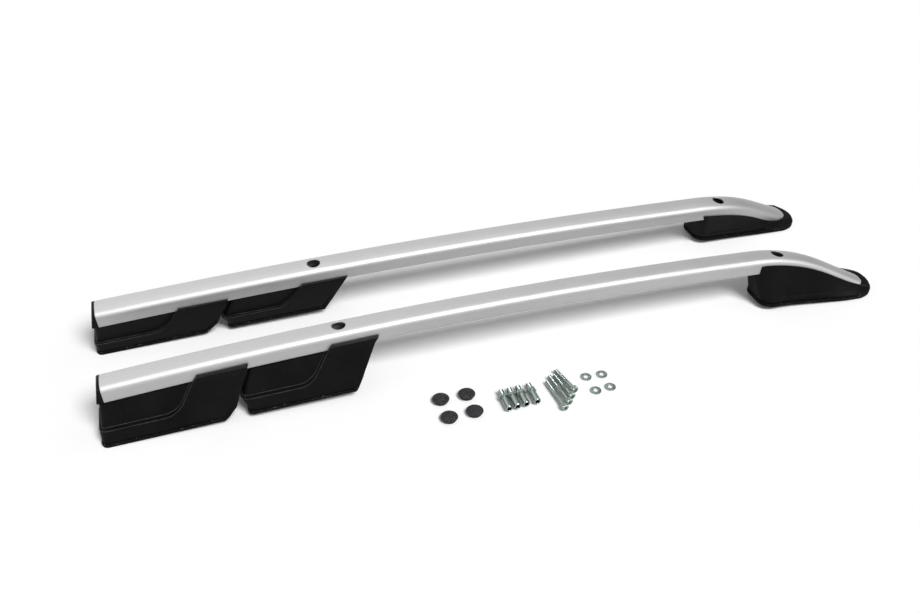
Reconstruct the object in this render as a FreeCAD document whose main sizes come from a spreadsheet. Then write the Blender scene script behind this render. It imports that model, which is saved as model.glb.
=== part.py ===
import FreeCAD, Part
import math
import os
import Sketcher
from FreeCAD import Vector

os.makedirs("parts", exist_ok=True)
doc = FreeCAD.newDocument("RoofSideRails")

# Driving dimensions, in millimetres and degrees.
# x runs forward along a rail, y inboard from its centre line, z up from the floor.
SIZES = {
    # the pair as it lies
    "RailSpacing": 166.8,
    "LeftRailShift": -5.0,
    # the roof line that the soles follow
    "SoleRearX": -8.0,
    "SoleFrontX": 1186.0,
    "RoofCrown": 12.3,
    # extruded rail
    "RailWidth": 40.0,
    "RailHeight": 24.0,
    "RailWall": 2.5,
    "LipWidth": 5.0,
    "CrownRadius": 60.0,
    "ShoulderRadius": 9.0,
    "RailLeanAngle": 4.07,
    "RailRearSetback": 12.9,
    "RailRearZ": 52.9,
    "RailCrownZ": 67.8,
    "RailPlanBow": 4.2,
    "RailEndsOutboard": 3.2,
    "BendSetback": 206.0,
    "BendZ": 54.4,
    "BendRadius": 274.0,
    "TipSlopeAngle": 26.9,
    "TipDrift": 0.19,
    "TipSetback": 18.0,
    "TipCornerRadius": 15.0,
    "RailFit": 0.15,
    # access holes over the two bolted feet
    "AccessHole": 20.0,
    "MiddleBoltSetback": 8.8,
    "FrontBoltAhead": 38.6,
    # rear end cap
    "CapTopLength": 4.0,
    "CapBottomLength": 10.0,
    "CapEdgeBevel": 1.0,
    "SpigotLength": 14.0,
    "SpigotWall": 2.0,
    # soles and pads
    "SoleOuterY": -50.0,
    "SoleInnerY": 14.4,
    "PadThickness": 5.0,
    "PadOverhang": 0.8,
    "GrooveHeight": 1.2,
    "GrooveDepth": 1.2,
    # moulded feet
    "FootWall": 3.0,
    "DeckThickness": 4.0,
    "RibThickness": 2.0,
    "RibSpacing": 36.0,
    "PanelOuterY": -23.5,
    "PanelInnerY": 22.5,
    "KneeDrop": 4.6,
    "PanelLapOuter": 9.0,
    "PanelLapInner": 5.5,
    "PanelChamfer": 2.5,
    "LedgeHeight": 20.5,
    "RecessOuter": 7.0,
    "RecessInner": 5.0,
    "RecessRear": 3.0,
    "CurveAngle": 52.0,
    "CurveRadius": 36.0,
    "InnerCurveShift": -2.5,
    "RearCornerRadius": 9.0,
    "RecessCornerRadius": 6.0,
    # rear foot
    "RearFootLength": 160.0,
    "RearFootLean": 0.135,
    "RearFootBulge": 0.0,
    "RearFootBulgeHeight": 20.5,
    "RearFootCurveX": 101.5,
    "RearFootToeRun": 18.7,
    "RearFootToeRise": 15.8,
    "RearFootRake": 0.53,
    "RearClampSetback": 14.0,
    # middle foot
    "FeetGap": 32.0,
    "MiddleFootLength": 148.5,
    "MiddleFootLean": 0.5,
    "MiddleFootBulge": 7.0,
    "MiddleFootBulgeHeight": 19.6,
    "MiddleFootCurveX": 90.3,
    "MiddleFootToeRun": 14.0,
    "MiddleFootToeRise": 19.7,
    "MiddleFootRake": 0.65,
    # front foot
    "FrontPadLength": 205.7,
    "FrontPadCorner": 20.0,
    "FrontPadRim": 2.0,
    "FrontWidenAhead": 22.7,
    "FrontWidestSetback": 38.0,
    "FrontRearOuterY": -49.8,
    "FrontRearInnerY": 14.0,
    "FrontWideOuterY": -64.3,
    "FrontWideInnerY": 18.0,
    "FrontFootLean": 0.155,
    "FrontFootCorner": 18.0,
    "FrontProudOuter": 2.6,
    "FrontProudInner": 3.8,
    "FrontRecessOuter": 2.6,
    "FrontRecessInner": 1.4,
    "FrontLedgeHeight": 12.0,
    "FrontCreaseAhead": 22.7,
    "FrontCreaseLean": 0.364,
    "RearLapOuter": 13.6,
    "RearLapInner": 6.3,
    "MiddleLapOuter": 14.0,
    "MiddleLapInner": 6.8,
    "BendLapOuter": 14.8,
    "BendLapInner": 7.8,
    "SlopeLapOuter": 15.5,
    "SlopeLapInner": 9.3,
    "TipRimOuter": 9.6,
    "TipRimInner": 7.9,
    "NoseHeight": 8.0,
    "NoseOverrun": 12.0,
    "NoseFlare": 0.8,
    # bolts, bushes and clamp plates
    "BushDiameter": 16.0,
    "BushBore": 10.6,
    "BushBoreDepth": 24.0,
    "BushBoltHole": 7.0,
    "BossDiameter": 21.0,
    "BossRise": 7.5,
    "BushFit": 0.1,
    "BushSoleGap": 0.5,
    "PlateLength": 64.0,
    "PlateThickness": 3.0,
    "PlateSideGap": 0.6,
    "PlateHole": 23.0,
    "ClampSpacing": 44.0,
    "ClampScrewDiameter": 4.0,
    "ClampScrewLength": 13.0,
    "ClampHeadDiameter": 8.0,
    "ClampHeadHeight": 2.6,
    "ClampHoleGap": 0.25,
    # loose fixings on the floor beside the rails
    "PlugDiameter": 24.3,
    "PlugRim": 1.4,
    "PlugDome": 1.8,
    "PlugSkirtDiameter": 19.4,
    "PlugSkirtDepth": 4.0,
    "PlugWall": 1.4,
    "StudDiameter": 8.0,
    "StudLength": 12.0,
    "CollarAcrossFlats": 12.0,
    "CollarLength": 5.0,
    "StandoffDiameter": 10.0,
    "StandoffLength": 21.6,
    "StandoffBore": 5.2,
    "StandoffBoreDepth": 18.0,
    "StandoffBevel": 0.8,
    "ScrewDiameter": 6.0,
    "ScrewHeadDiameter": 10.0,
    "ScrewHeadHeight": 6.0,
    "SocketAcrossFlats": 5.0,
    "SocketDepth": 3.2,
    "ScrewBevel": 0.6,
    "LongScrewLength": 54.0,
    "ShortScrewLength": 44.0,
    "WasherDiameter": 16.0,
    "WasherHole": 7.0,
    "WasherThickness": 1.6,
}

sheet = doc.addObject("Spreadsheet::Sheet", "Sizes")
for row, (alias, value) in enumerate(SIZES.items(), start=1):
    sheet.set("A%d" % row, alias)
    sheet.set("B%d" % row, str(value))
    sheet.setAlias("B%d" % row, alias)
doc.recompute()


def size(alias):
    return float(sheet.get(alias))


# places along the rails, each tied to the end of the piece that it belongs to
MIDDLE_SOLE_X = size("SoleRearX") + size("RearFootLength") + size("FeetGap")
MIDDLE_BOLT_X = MIDDLE_SOLE_X + size("MiddleFootLength") - size("MiddleBoltSetback")
REAR_CLAMP_X = size("SoleRearX") + size("RearFootLength") - size("RearClampSetback")
BEND_X = size("SoleFrontX") - size("BendSetback")
TIP_X = size("SoleFrontX") - size("TipSetback")
FRONT_PAD_X = size("SoleFrontX") - size("FrontPadLength")
FRONT_BOLT_X = FRONT_PAD_X + size("FrontBoltAhead")
FRONT_WIDEN_X = FRONT_PAD_X + size("FrontWidenAhead")
FRONT_WIDEST_X = size("SoleFrontX") - size("FrontWidestSetback")

# reach of cutting tools, and limits used when shapes are searched
FAR = 2000.0
PATH_TOLERANCE = 1e-7
UPRIGHT_SHARE = 0.6
OFFCUT_SHARE = 0.001

ALONG_X = Vector(1, 0, 0)
ALONG_Y = Vector(0, 1, 0)
ALONG_Z = Vector(0, 0, 1)


# The roof line and the planes of the three soles

def roof_height(x):
    """Height of the roof's arc above the floor under its two ends."""
    half_chord = (size("SoleFrontX") - size("SoleRearX")) / 2
    middle = (size("SoleFrontX") + size("SoleRearX")) / 2
    crown = size("RoofCrown")
    radius = (half_chord ** 2 + crown ** 2) / (2 * crown)
    return crown - radius + math.sqrt(radius ** 2 - (x - middle) ** 2)


class Sole:
    """A flat sole laid as a chord of the roof's arc, with its own s (forward) and t (up) axes."""

    def __init__(self, rear_x, front_x):
        self.rear = Vector(rear_x, 0, roof_height(rear_x))
        front = Vector(front_x, 0, roof_height(front_x))
        self.along = (front - self.rear).normalize()
        self.up = Vector(-self.along.z, 0, self.along.x)
        self.length = (front - self.rear).Length

    def point(self, s, t, y=0.0):
        return self.rear + self.along * s + self.up * t + ALONG_Y * y

    def s_of(self, x):
        return (x - self.rear.x) / self.along.x

    def t_of(self, x, z):
        return (Vector(x, 0, z) - self.rear).dot(self.up)


# The rail's path: a long flat arc, a tighter front bend that turns down and outboard, a straight tip

class RailPath:
    def __init__(self):
        ends_y = -size("RailEndsOutboard")
        self.start = Vector(size("SoleRearX") + size("RailRearSetback"), ends_y, size("RailRearZ"))
        self.bend = Vector(BEND_X, ends_y, size("BendZ"))
        crown_y = ends_y + size("RailPlanBow")
        crown = Vector((self.start.x + self.bend.x) / 2, crown_y, size("RailCrownZ"))
        arc = Part.Arc(self.start, crown, self.bend).toShape().Curve
        self.centre = arc.Center
        start_spoke = self.start - self.centre
        bend_spoke = self.bend - self.centre
        self.arc_turn = start_spoke.getAngle(bend_spoke)
        self.axis = start_spoke.cross(bend_spoke).normalize()
        self.start_tangent = self.axis.cross(start_spoke).normalize()
        self.bend_tangent = self.axis.cross(bend_spoke).normalize()
        tip_fall = math.tan(math.radians(size("TipSlopeAngle")))
        self.tip_tangent = Vector(1, -size("TipDrift"), -tip_fall).normalize()
        self.bend_radius = size("BendRadius")
        self.bend_turn = self.bend_tangent.getAngle(self.tip_tangent)
        inward = self.tip_tangent - self.bend_tangent * self.bend_tangent.dot(self.tip_tangent)
        inward.normalize()
        self.bend_axis = self.bend_tangent.cross(inward)
        self.bend_centre = self.bend + inward * self.bend_radius
        self.bend_end = self.on_bend(self.bend_turn)[0]

    def turned(self, point, tangent, centre, axis, angle):
        """A point and the tangent there, carried round an arc's axis by an angle in radians."""
        turn = FreeCAD.Rotation(axis, math.degrees(angle))
        return centre + turn.multVec(point - centre), turn.multVec(tangent)

    def on_arc(self, angle):
        return self.turned(self.start, self.start_tangent, self.centre, self.axis, angle)

    def on_bend(self, angle):
        return self.turned(self.bend, self.bend_tangent, self.bend_centre, self.bend_axis, angle)

    def at(self, x):
        """The centre of the rail's underside, and the path's direction, at a given x."""
        if x >= self.bend_end.x:
            steps = (x - self.bend_end.x) / self.tip_tangent.x
            return self.bend_end + self.tip_tangent * steps, self.tip_tangent
        curve = self.on_arc if x <= self.bend.x else self.on_bend
        low, high = -self.arc_turn, max(self.arc_turn, self.bend_turn)
        while high - low > PATH_TOLERANCE:
            middle = (low + high) / 2
            if curve(middle)[0].x < x:
                low = middle
            else:
                high = middle
        return curve(low)

    def edge(self, x, side):
        """The rail's lower outer (side -1) or inner (side 1) edge at a given x."""
        point, direction = self.at(x)
        lean = math.radians(size("RailLeanAngle"))
        half = size("RailWidth") / 2
        drop = -side * half * math.sin(lean)
        return Vector(x, point.y + side * half * math.cos(lean), point.z + drop)


path = RailPath()


def leaned(direction):
    """Rotation that takes a profile drawn in the y-z plane to a section square to the path."""
    upright = direction.cross(ALONG_Y).normalize() * -1
    if upright.z < 0:
        upright = upright * -1
    across = upright.cross(direction)
    lean = math.radians(size("RailLeanAngle"))
    up = upright * math.cos(lean) + across * math.sin(lean)
    side = across * math.cos(lean) - upright * math.sin(lean)
    return FreeCAD.Rotation(direction, side, up, "XYZ")


def rail_outline(inset, floor):
    """Closed outline of the rail's section, drawn inset from its outer faces, flat at the floor."""
    half = size("RailWidth") / 2
    crown = size("CrownRadius")
    shoulder = size("ShoulderRadius")
    hub_y = half - shoulder
    hub_z = size("RailHeight") - crown + math.sqrt((crown - shoulder) ** 2 - hub_y ** 2)
    radius = shoulder - inset
    reach = (crown - inset) / (crown - shoulder)
    tangent_y = hub_y * reach
    crown_z = size("RailHeight") - crown
    tangent_z = crown_z + (hub_z - crown_z) * reach
    spread = math.atan2(hub_z - crown_z, hub_y) / 2
    middle_y = hub_y + radius * math.cos(spread)
    middle_z = hub_z + radius * math.sin(spread)
    side = half - inset
    top = size("RailHeight") - inset
    corners = [Vector(0, side, floor), Vector(0, side, hub_z), Vector(0, tangent_y, tangent_z)]
    mirrored = [Vector(0, -point.y, point.z) for point in corners]
    edges = [
        Part.LineSegment(mirrored[0], corners[0]),
        Part.LineSegment(corners[0], corners[1]),
        Part.Arc(corners[1], Vector(0, middle_y, middle_z), corners[2]),
        Part.Arc(corners[2], Vector(0, 0, top), mirrored[2]),
        Part.Arc(mirrored[2], Vector(0, -middle_y, middle_z), mirrored[1]),
        Part.LineSegment(mirrored[1], mirrored[0]),
    ]
    return Part.Wire([edge.toShape() for edge in edges])


def box_outline(half_width, bottom, top):
    corners = [
        Vector(0, -half_width, bottom),
        Vector(0, half_width, bottom),
        Vector(0, half_width, top),
        Vector(0, -half_width, top),
    ]
    return Part.makePolygon(corners + corners[:1])


def sweep_along_rail(outline, rear_overrun=0.0):
    """Carries a section along the path: turned about each arc's centre, then drawn straight."""
    face = Part.Face(outline)
    face.Placement = FreeCAD.Placement(path.start, leaned(path.start_tangent))
    pieces = [face.revolve(path.centre, path.axis, math.degrees(path.arc_turn))]
    if rear_overrun > 0:
        pieces.append(face.extrude(path.start_tangent * -rear_overrun))
    bend_face = face.copy()
    bend_face.rotate(path.centre, path.axis, math.degrees(path.arc_turn))
    pieces.append(bend_face.revolve(path.bend_centre, path.bend_axis, math.degrees(path.bend_turn)))
    tip_face = bend_face.copy()
    tip_face.rotate(path.bend_centre, path.bend_axis, math.degrees(path.bend_turn))
    tip_length = TIP_X - path.bend_end.x + size("RailHeight")
    pieces.append(tip_face.extrude(path.tip_tangent * tip_length))
    return pieces[0].multiFuse(pieces[1:]).removeSplitter()


def slab(plane_points, depth):
    """A prism on an outline of points, drawn by the given depth vector."""
    return Part.Face(Part.makePolygon(plane_points + plane_points[:1])).extrude(depth)


def one_solid(shape):
    """The largest solid of a cut shape, if the others are only slivers of it."""
    solids = sorted(shape.Solids, key=lambda solid: solid.Volume)
    slivers = len(solids) == 1 or solids[-2].Volume < solids[-1].Volume * OFFCUT_SHARE
    return solids[-1] if slivers else shape


def bolt_frame(x):
    """Foot of a bolt's line on the rail's underside and its direction, square to the leaned rail."""
    point = path.at(x)[0]
    lean = math.radians(size("RailLeanAngle"))
    return point, Vector(0, math.sin(lean), math.cos(lean))


def rod(x, diameter, bottom, top):
    """A cylinder on a bolt's line, from bottom to top, measured up from the rail's underside."""
    point, axis = bolt_frame(x)
    return Part.makeCylinder(diameter / 2, top - bottom, point + axis * bottom, axis)


BOLT_XS = [MIDDLE_BOLT_X, FRONT_BOLT_X]
CLAMP_XS = [REAR_CLAMP_X] + BOLT_XS

rear_sole = Sole(size("SoleRearX"), size("SoleRearX") + size("RearFootLength"))
middle_sole = Sole(MIDDLE_SOLE_X, MIDDLE_SOLE_X + size("MiddleFootLength"))
front_sole = Sole(FRONT_PAD_X, size("SoleFrontX"))
BOLT_SOLES = [middle_sole, front_sole]


def feature(label, shape):
    made = doc.addObject("Part::Feature", label)
    made.Label = label
    made.Shape = shape
    return made


# Aluminium rail

def tip_prism(inset):
    """Plan outline of the rail with its rounded front end, as a tall prism."""
    half = size("RailWidth") / 2 - inset
    radius = size("TipCornerRadius") - inset
    tip, direction = path.at(TIP_X)
    forward = Vector(direction.x, direction.y, 0).normalize()
    across = Vector(-forward.y, forward.x, 0)
    wide = half + FAR / 4

    def plan(back, side):
        point = tip - forward * (back + inset) + across * side
        return Vector(point.x, point.y, -FAR / 2)

    diagonal = radius * (1 - math.cos(math.radians(45)))
    edges = [
        Part.LineSegment(plan(FAR, -wide), plan(radius, -half)),
        Part.Arc(plan(radius, -half), plan(diagonal, -half + diagonal), plan(0, -half + radius)),
        Part.LineSegment(plan(0, -half + radius), plan(0, half - radius)),
        Part.Arc(plan(0, half - radius), plan(diagonal, half - diagonal), plan(radius, half)),
        Part.LineSegment(plan(radius, half), plan(FAR, wide)),
        Part.LineSegment(plan(FAR, wide), plan(FAR, -wide)),
    ]
    return Part.Face(Part.Wire([edge.toShape() for edge in edges])).extrude(ALONG_Z * FAR)


def above_sole(sole, height):
    """Everything higher than a plane parallel to a sole."""
    corners = [sole.point(-FAR, height), sole.point(FAR, height)]
    corners += [sole.point(FAR, height + FAR), sole.point(-FAR, height + FAR)]
    return slab([point - ALONG_Y * FAR for point in corners], ALONG_Y * (2 * FAR))


def make_rail():
    wall = size("RailWall")
    slot = size("RailWidth") / 2 - wall - size("LipWidth")
    envelope = sweep_along_rail(rail_outline(0, 0)).common(tip_prism(0))
    mouth = sweep_along_rail(box_outline(slot, -wall, 2 * wall), wall).common(tip_prism(wall))
    cavity = sweep_along_rail(rail_outline(wall, wall), wall).common(tip_prism(wall))
    rail = envelope.cut(cavity).cut(mouth)
    nose_floor = size("PadThickness") + size("FootWall")
    rail = rail.common(above_sole(front_sole, nose_floor + size("RailFit")))
    for x in BOLT_XS:
        rail = rail.cut(rod(x, size("AccessHole"), size("RailHeight") / 2, size("RailHeight") * 2))
    return one_solid(rail.removeSplitter())


# Rear end cap

def make_end_cap():
    turned = leaned(path.start_tangent)
    seat = FreeCAD.Placement(path.start, turned)
    height = size("RailHeight")
    long = size("CapBottomLength")
    short = size("CapTopLength")
    outline = Part.Face(rail_outline(0, 0))
    block = outline.extrude(ALONG_X * -(long + height))
    half = size("RailWidth")
    slope = (long - short) / height
    keep = [
        Vector(0, -half, -height),
        Vector(-long - slope * height, -half, -height),
        Vector(-short + slope * height, -half, 2 * height),
        Vector(0, -half, 2 * height),
    ]
    cap = block.common(slab(keep, ALONG_Y * (2 * half)))
    rear_edges = [edge for edge in cap.Edges if edge.BoundBox.XMax < -short / 2]
    cap = cap.makeChamfer(size("CapEdgeBevel"), rear_edges)
    wall = size("RailWall")
    fit = size("RailFit")
    spigot_wall = size("SpigotWall")
    plug = Part.Face(rail_outline(wall + fit, wall + fit)).extrude(ALONG_X * size("SpigotLength"))
    core_inset = wall + fit + spigot_wall
    core = Part.Face(rail_outline(core_inset, core_inset)).extrude(ALONG_X * size("SpigotLength"))
    cap = cap.fuse(plug.cut(core)).removeSplitter()
    return one_solid(cap.transformed(seat.toMatrix(), True))


# Moulded rear and middle feet

class Foot:
    """The named sizes of a foot with a panel, a ledge and a recess, read for one foot by its prefix."""

    def __init__(self, prefix, sole):
        self.sole = sole
        self.length = size(prefix + "Length")
        self.lean = size(prefix + "Lean")
        self.bulge = size(prefix + "Bulge")
        self.bulge_height = size(prefix + "BulgeHeight")
        self.curve_s = size(prefix + "CurveX")
        self.toe = Vector(size(prefix + "ToeRun"), size(prefix + "ToeRise"), 0)
        self.rake = size(prefix + "Rake")
        middle_x = sole.point(self.length - self.toe.x, 0).x
        self.rail_y = path.at(middle_x)[0].y
        self.tops = {}
        for side, lap in ((-1, size("PanelLapOuter")), (1, size("PanelLapInner"))):
            edge = path.edge(middle_x, side)
            self.tops[side] = sole.t_of(edge.x, edge.z) + lap
        self.knee = min(self.tops.values()) - size("KneeDrop")


rear_form = Foot("RearFoot", rear_sole)
middle_form = Foot("MiddleFoot", middle_sole)


def side_prism(sole, outline):
    """A prism across the foot on an outline of (s, t) points."""
    return slab([sole.point(s, t, -FAR / 2) for s, t in outline], ALONG_Y * FAR)


def section_prism(sole, outline):
    """A prism along the foot on an outline of (y, t) points."""
    return slab([sole.point(-FAR / 2, t, y) for y, t in outline], sole.along * FAR)


def foot_side(foot, rear_inset, inset, bottom):
    """Side outline of a foot: rear wall, sole, toe chamfer over the pad, raked front edge."""
    pad = size("PadThickness")
    toe_length = foot.toe.Length
    lift = Vector(-foot.toe.y, foot.toe.x, 0) * ((pad + inset) / toe_length)
    toe_top = Vector(foot.length, 0, 0) + foot.toe
    seat_top = toe_top + lift
    rise = (pad + inset - lift.y) / foot.toe.y
    seat_bottom = Vector(foot.length, 0, 0) + lift + foot.toe * rise
    peak = max(foot.tops.values()) + foot.length
    back = rear_inset + inset
    front = inset * math.sqrt(1 + foot.rake ** 2)
    outline = [
        (back, bottom),
        (back - foot.bulge, foot.bulge_height),
        (back - foot.bulge + foot.lean * (peak - foot.bulge_height), peak),
        (toe_top.x + foot.rake * (peak - toe_top.y) - front, peak),
        (toe_top.x + foot.rake * (seat_top.y - toe_top.y) - front, seat_top.y),
    ]
    if inset == 0:
        outline[-1] = (toe_top.x, toe_top.y)
        outline.append((seat_top.x, seat_top.y))
    outline.append((seat_bottom.x, pad + inset))
    outline.append((seat_bottom.x, bottom))
    if bottom == pad + inset:
        outline.pop()
    return outline


def foot_section(foot, outer_inset, inner_inset, bottom):
    """Cross-section of a foot: sole edge, sloping walls, upright panels with chamfered tops."""
    pad = size("PadThickness")
    chamfer = size("PanelChamfer")
    panel_outer_y = foot.rail_y + size("PanelOuterY")
    panel_inner_y = foot.rail_y + size("PanelInnerY")
    outer_slope = (panel_outer_y - size("SoleOuterY")) / (foot.knee - pad)
    inner_slope = (panel_inner_y - size("SoleInnerY")) / (foot.knee - pad)
    outer_shift = outer_inset * math.sqrt(1 + outer_slope ** 2)
    inner_shift = inner_inset * math.sqrt(1 + inner_slope ** 2)
    outer_panel = panel_outer_y + outer_shift
    inner_panel = panel_inner_y - inner_shift
    outer_top = foot.tops[-1]
    inner_top = foot.tops[1]
    return [
        (size("SoleOuterY") + outer_shift + outer_slope * (bottom - pad), bottom),
        (outer_panel, foot.knee),
        (outer_panel, outer_top - chamfer),
        (outer_panel + chamfer, outer_top),
        (inner_panel - chamfer, inner_top),
        (inner_panel, inner_top - chamfer),
        (inner_panel, foot.knee),
        (size("SoleInnerY") - inner_shift + inner_slope * (bottom - pad), bottom),
    ]


def rounded_block(foot, rear_inset, outer_inset, inner_inset, inset, bottom, radius):
    """A tapered block from a side outline and a cross-section, with its upright corners rounded."""
    section = foot_section(foot, outer_inset + inset, inner_inset + inset, bottom)
    block = side_prism(foot.sole, foot_side(foot, rear_inset, inset, bottom))
    block = block.common(section_prism(foot.sole, section))
    rear = []
    for edge in block.Edges:
        first = edge.firstVertex().Point
        last = edge.lastVertex().Point
        if abs((last - first).z) < UPRIGHT_SHARE * edge.Length or edge.Length < size("PadThickness"):
            continue
        middle = (first + last) / 2
        if (middle - foot.sole.rear).dot(foot.sole.along) < foot.length / 2:
            rear.append(edge)
    return block.makeFillet(radius, rear)


def panel_region(foot, inset):
    """The part of a foot that stands proud: the sole band, and the panel in front of the S-curve."""
    ledge = size("LedgeHeight") - inset
    angle = math.radians(size("CurveAngle"))
    radius = size("CurveRadius")
    prisms = []
    for side, shift in ((-1, 0.0), (1, size("InnerCurveShift"))):
        corner_s = foot.curve_s + shift + inset / math.sin(angle)
        reach = radius * math.tan(angle / 2)
        pull = radius * (1 / math.cos(angle / 2) - 1)
        rise = foot.length
        points = {
            "ledge": (corner_s - reach, ledge),
            "mid": (corner_s - pull * math.sin(angle / 2), ledge + pull * math.cos(angle / 2)),
            "curve": (corner_s + reach * math.cos(angle), ledge + reach * math.sin(angle)),
            "top": (corner_s + rise / math.tan(angle), ledge + rise),
            "front_top": (2 * foot.length, ledge + rise),
            "front_low": (2 * foot.length, -rise),
            "rear_low": (-foot.length, -rise),
            "rear": (-foot.length, ledge),
        }
        at = {name: foot.sole.point(s, t) for name, (s, t) in points.items()}
        ring = ["curve", "top", "front_top", "front_low", "rear_low", "rear", "ledge"]
        edges = [Part.LineSegment(at[one], at[two]) for one, two in zip(ring, ring[1:])]
        edges.append(Part.Arc(at["ledge"], at["mid"], at["curve"]))
        face = Part.Face(Part.Wire([edge.toShape() for edge in edges]))
        prisms.append(face.extrude(ALONG_Y * (side * FAR / 2)))
    return prisms[0].fuse(prisms[1])


def foot_form(foot, inset, bottom):
    """Outer form of a foot, or the form of its hollow when drawn inset by the wall."""
    outer = rounded_block(foot, 0, 0, 0, inset, bottom, size("RearCornerRadius") - inset)
    set_in = (size("RecessRear"), size("RecessOuter"), size("RecessInner"))
    recessed = rounded_block(foot, *set_in, inset, bottom, size("RecessCornerRadius") - inset)
    return recessed.fuse(outer.common(panel_region(foot, inset)))


def grooved(form, grooved_form, sole):
    """A foot's form with its lowest stretch set in, which leaves a groove above the pad."""
    over = above_sole(sole, size("PadThickness") + size("GrooveHeight"))
    return form.common(over).fuse(grooved_form.cut(over))


def rib_slabs(sole, positions):
    half = size("RibThickness") / 2
    ribs = []
    for s in positions:
        ring = [sole.point(s - half, -FAR), sole.point(s + half, -FAR)]
        ring += [sole.point(s + half, FAR), sole.point(s - half, FAR)]
        ribs.append(slab([point - ALONG_Y * FAR for point in ring], ALONG_Y * (2 * FAR)))
    return ribs


def clamp_frames(x):
    """Where the two clamp screws of a foot cross the rail's underside, with their directions."""
    frames = []
    for step in (-1, 1):
        point, direction = path.at(x + step * size("ClampSpacing") / 2)
        up = leaned(direction).multVec(ALONG_Z)
        frames.append((point, up))
    return frames


def fit_to_rail(form, hollow, keep_solid, clamp_x):
    """Seats a foot's form under the rail, hollows it below its deck and drills its clamp holes."""
    deck = size("DeckThickness")
    reach = size("RailWidth") * 2
    over_deck = sweep_along_rail(box_outline(reach, -deck, reach), reach)
    hollow = hollow.cut(over_deck)
    for solid in keep_solid:
        hollow = hollow.cut(solid)
    body = form.cut(envelope_of_rail).cut(hollow)
    radius = size("ClampScrewDiameter") / 2 + size("ClampHoleGap")
    for point, up in clamp_frames(clamp_x):
        body = body.cut(Part.makeCylinder(radius, FAR, point - up * (FAR / 2), up))
    return body


def add_bolt_boss(body, x):
    """Adds the boss that rises through the rail's slot and bores it for the bush."""
    fit = size("BushFit")
    body = body.fuse(rod(x, size("BossDiameter"), -size("DeckThickness"), size("BossRise")))
    return body.cut(rod(x, size("BushDiameter") + 2 * fit, -FAR, size("BossRise") + fit))


def boss_column(x):
    return rod(x, size("BossDiameter"), -FAR, size("BossRise"))


envelope_of_rail = sweep_along_rail(rail_outline(-size("RailFit"), -size("RailFit")), size("RailWidth"))


def make_panel_foot(foot, clamp_x, bolt_x=None):
    pad = size("PadThickness")
    groove = size("GrooveDepth")
    set_in = rounded_block(foot, groove, groove, groove, 0, pad, size("RearCornerRadius") - groove)
    form = grooved(foot_form(foot, 0, pad), set_in, foot.sole)
    hollow = foot_form(foot, size("FootWall"), -pad)
    spacing = size("RibSpacing")
    rib_count = int(foot.curve_s / spacing)
    keep_solid = rib_slabs(foot.sole, [spacing * step for step in range(1, rib_count + 1)])
    if bolt_x is not None:
        keep_solid.append(boss_column(bolt_x))
    body = fit_to_rail(form, hollow, keep_solid, clamp_x)
    if bolt_x is not None:
        body = add_bolt_boss(body, bolt_x)
    return one_solid(body.removeSplitter())


# Moulded front foot

def lap_height(x, side, lap):
    """Height of the shell's edge that laps the rail's side by a distance square to the path."""
    slope = path.at(x)[1]
    return path.edge(x, side).z + lap / math.hypot(slope.x, slope.y)


def over_front_sole(x, height):
    """The z of a point at x that lies a height above the front sole."""
    return front_sole.point(front_sole.s_of(x), height).z


def front_stations():
    """Sections of the front foot: x, then the heights of its outer and inner edge beside the rail."""
    bend_end = path.bend_end.x
    nose_x = size("SoleFrontX") + size("NoseOverrun")
    nose_z = over_front_sole(nose_x, size("NoseHeight"))
    laps = [
        (FRONT_PAD_X - size("RailHeight"), "RearLap"),
        (FRONT_WIDEN_X, "RearLap"),
        ((FRONT_WIDEN_X + bend_end) / 2, "MiddleLap"),
        (bend_end, "BendLap"),
        ((bend_end + TIP_X) / 2, "SlopeLap"),
    ]
    stations = [
        (x, lap_height(x, -1, size(lap + "Outer")), lap_height(x, 1, size(lap + "Inner")))
        for x, lap in laps
    ]
    tip_rims = [over_front_sole(TIP_X, size("TipRim" + side)) for side in ("Outer", "Inner")]
    return stations + [(TIP_X, *tip_rims), (nose_x, nose_z, nose_z)]


def plan_edges(x):
    """Outer and inner edge of the front pad: it eases out from the sole lines to its widest place."""
    share = (x - FRONT_WIDEN_X) / (FRONT_WIDEST_X - FRONT_WIDEN_X)
    ease = (1 - math.cos(min(1.0, max(0.0, share)) * math.pi)) / 2
    outer = size("FrontRearOuterY") + (size("FrontWideOuterY") - size("FrontRearOuterY")) * ease
    inner = size("FrontRearInnerY") + (size("FrontWideInnerY") - size("FrontRearInnerY")) * ease
    return outer, inner


def carried_down(top, low, drop):
    """The point reached by following the line from top to low further down by a drop."""
    return low + (low - top) * (drop / (top.z - low.z))


def shell_section(station, inset, recesses, bottom):
    """Section of the front shell, carried below its bottom: two sole edges, two edges at the rail."""
    x, outer_z, inner_z = station
    outer_y, inner_y = plan_edges(x)
    outer_edge = path.edge(x, -1)
    inner_edge = path.edge(x, 1)
    outer_side = inset + recesses[0]
    inner_side = inset + recesses[1]
    rim = size("FrontPadRim")
    floor_z = over_front_sole(x, bottom)
    drop = size("FootWall")
    outer_top = Vector(x, outer_edge.y - size("FrontProudOuter") + outer_side, outer_z - inset)
    inner_top = Vector(x, inner_edge.y + size("FrontProudInner") - inner_side, inner_z - inset)
    outer_low = carried_down(outer_top, Vector(x, outer_y + rim + outer_side, floor_z), drop)
    inner_low = carried_down(inner_top, Vector(x, inner_y - rim - inner_side, floor_z), drop)
    return Part.makePolygon([outer_low, outer_top, inner_top, inner_low, outer_low])


def nose_arc(inset, height, flare=0.0):
    """The round nose of the front pad in plan, drawn inset: its arc and its two ends."""
    outer = size("FrontWideOuterY") + inset - flare
    inner = size("FrontWideInnerY") - inset + flare
    first = Vector(FRONT_WIDEST_X, outer, height)
    last = Vector(FRONT_WIDEST_X, inner, height)
    tip = Vector(size("SoleFrontX") - inset, (outer + inner) / 2, height)
    return Part.Arc(first, tip, last), first, last


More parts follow.
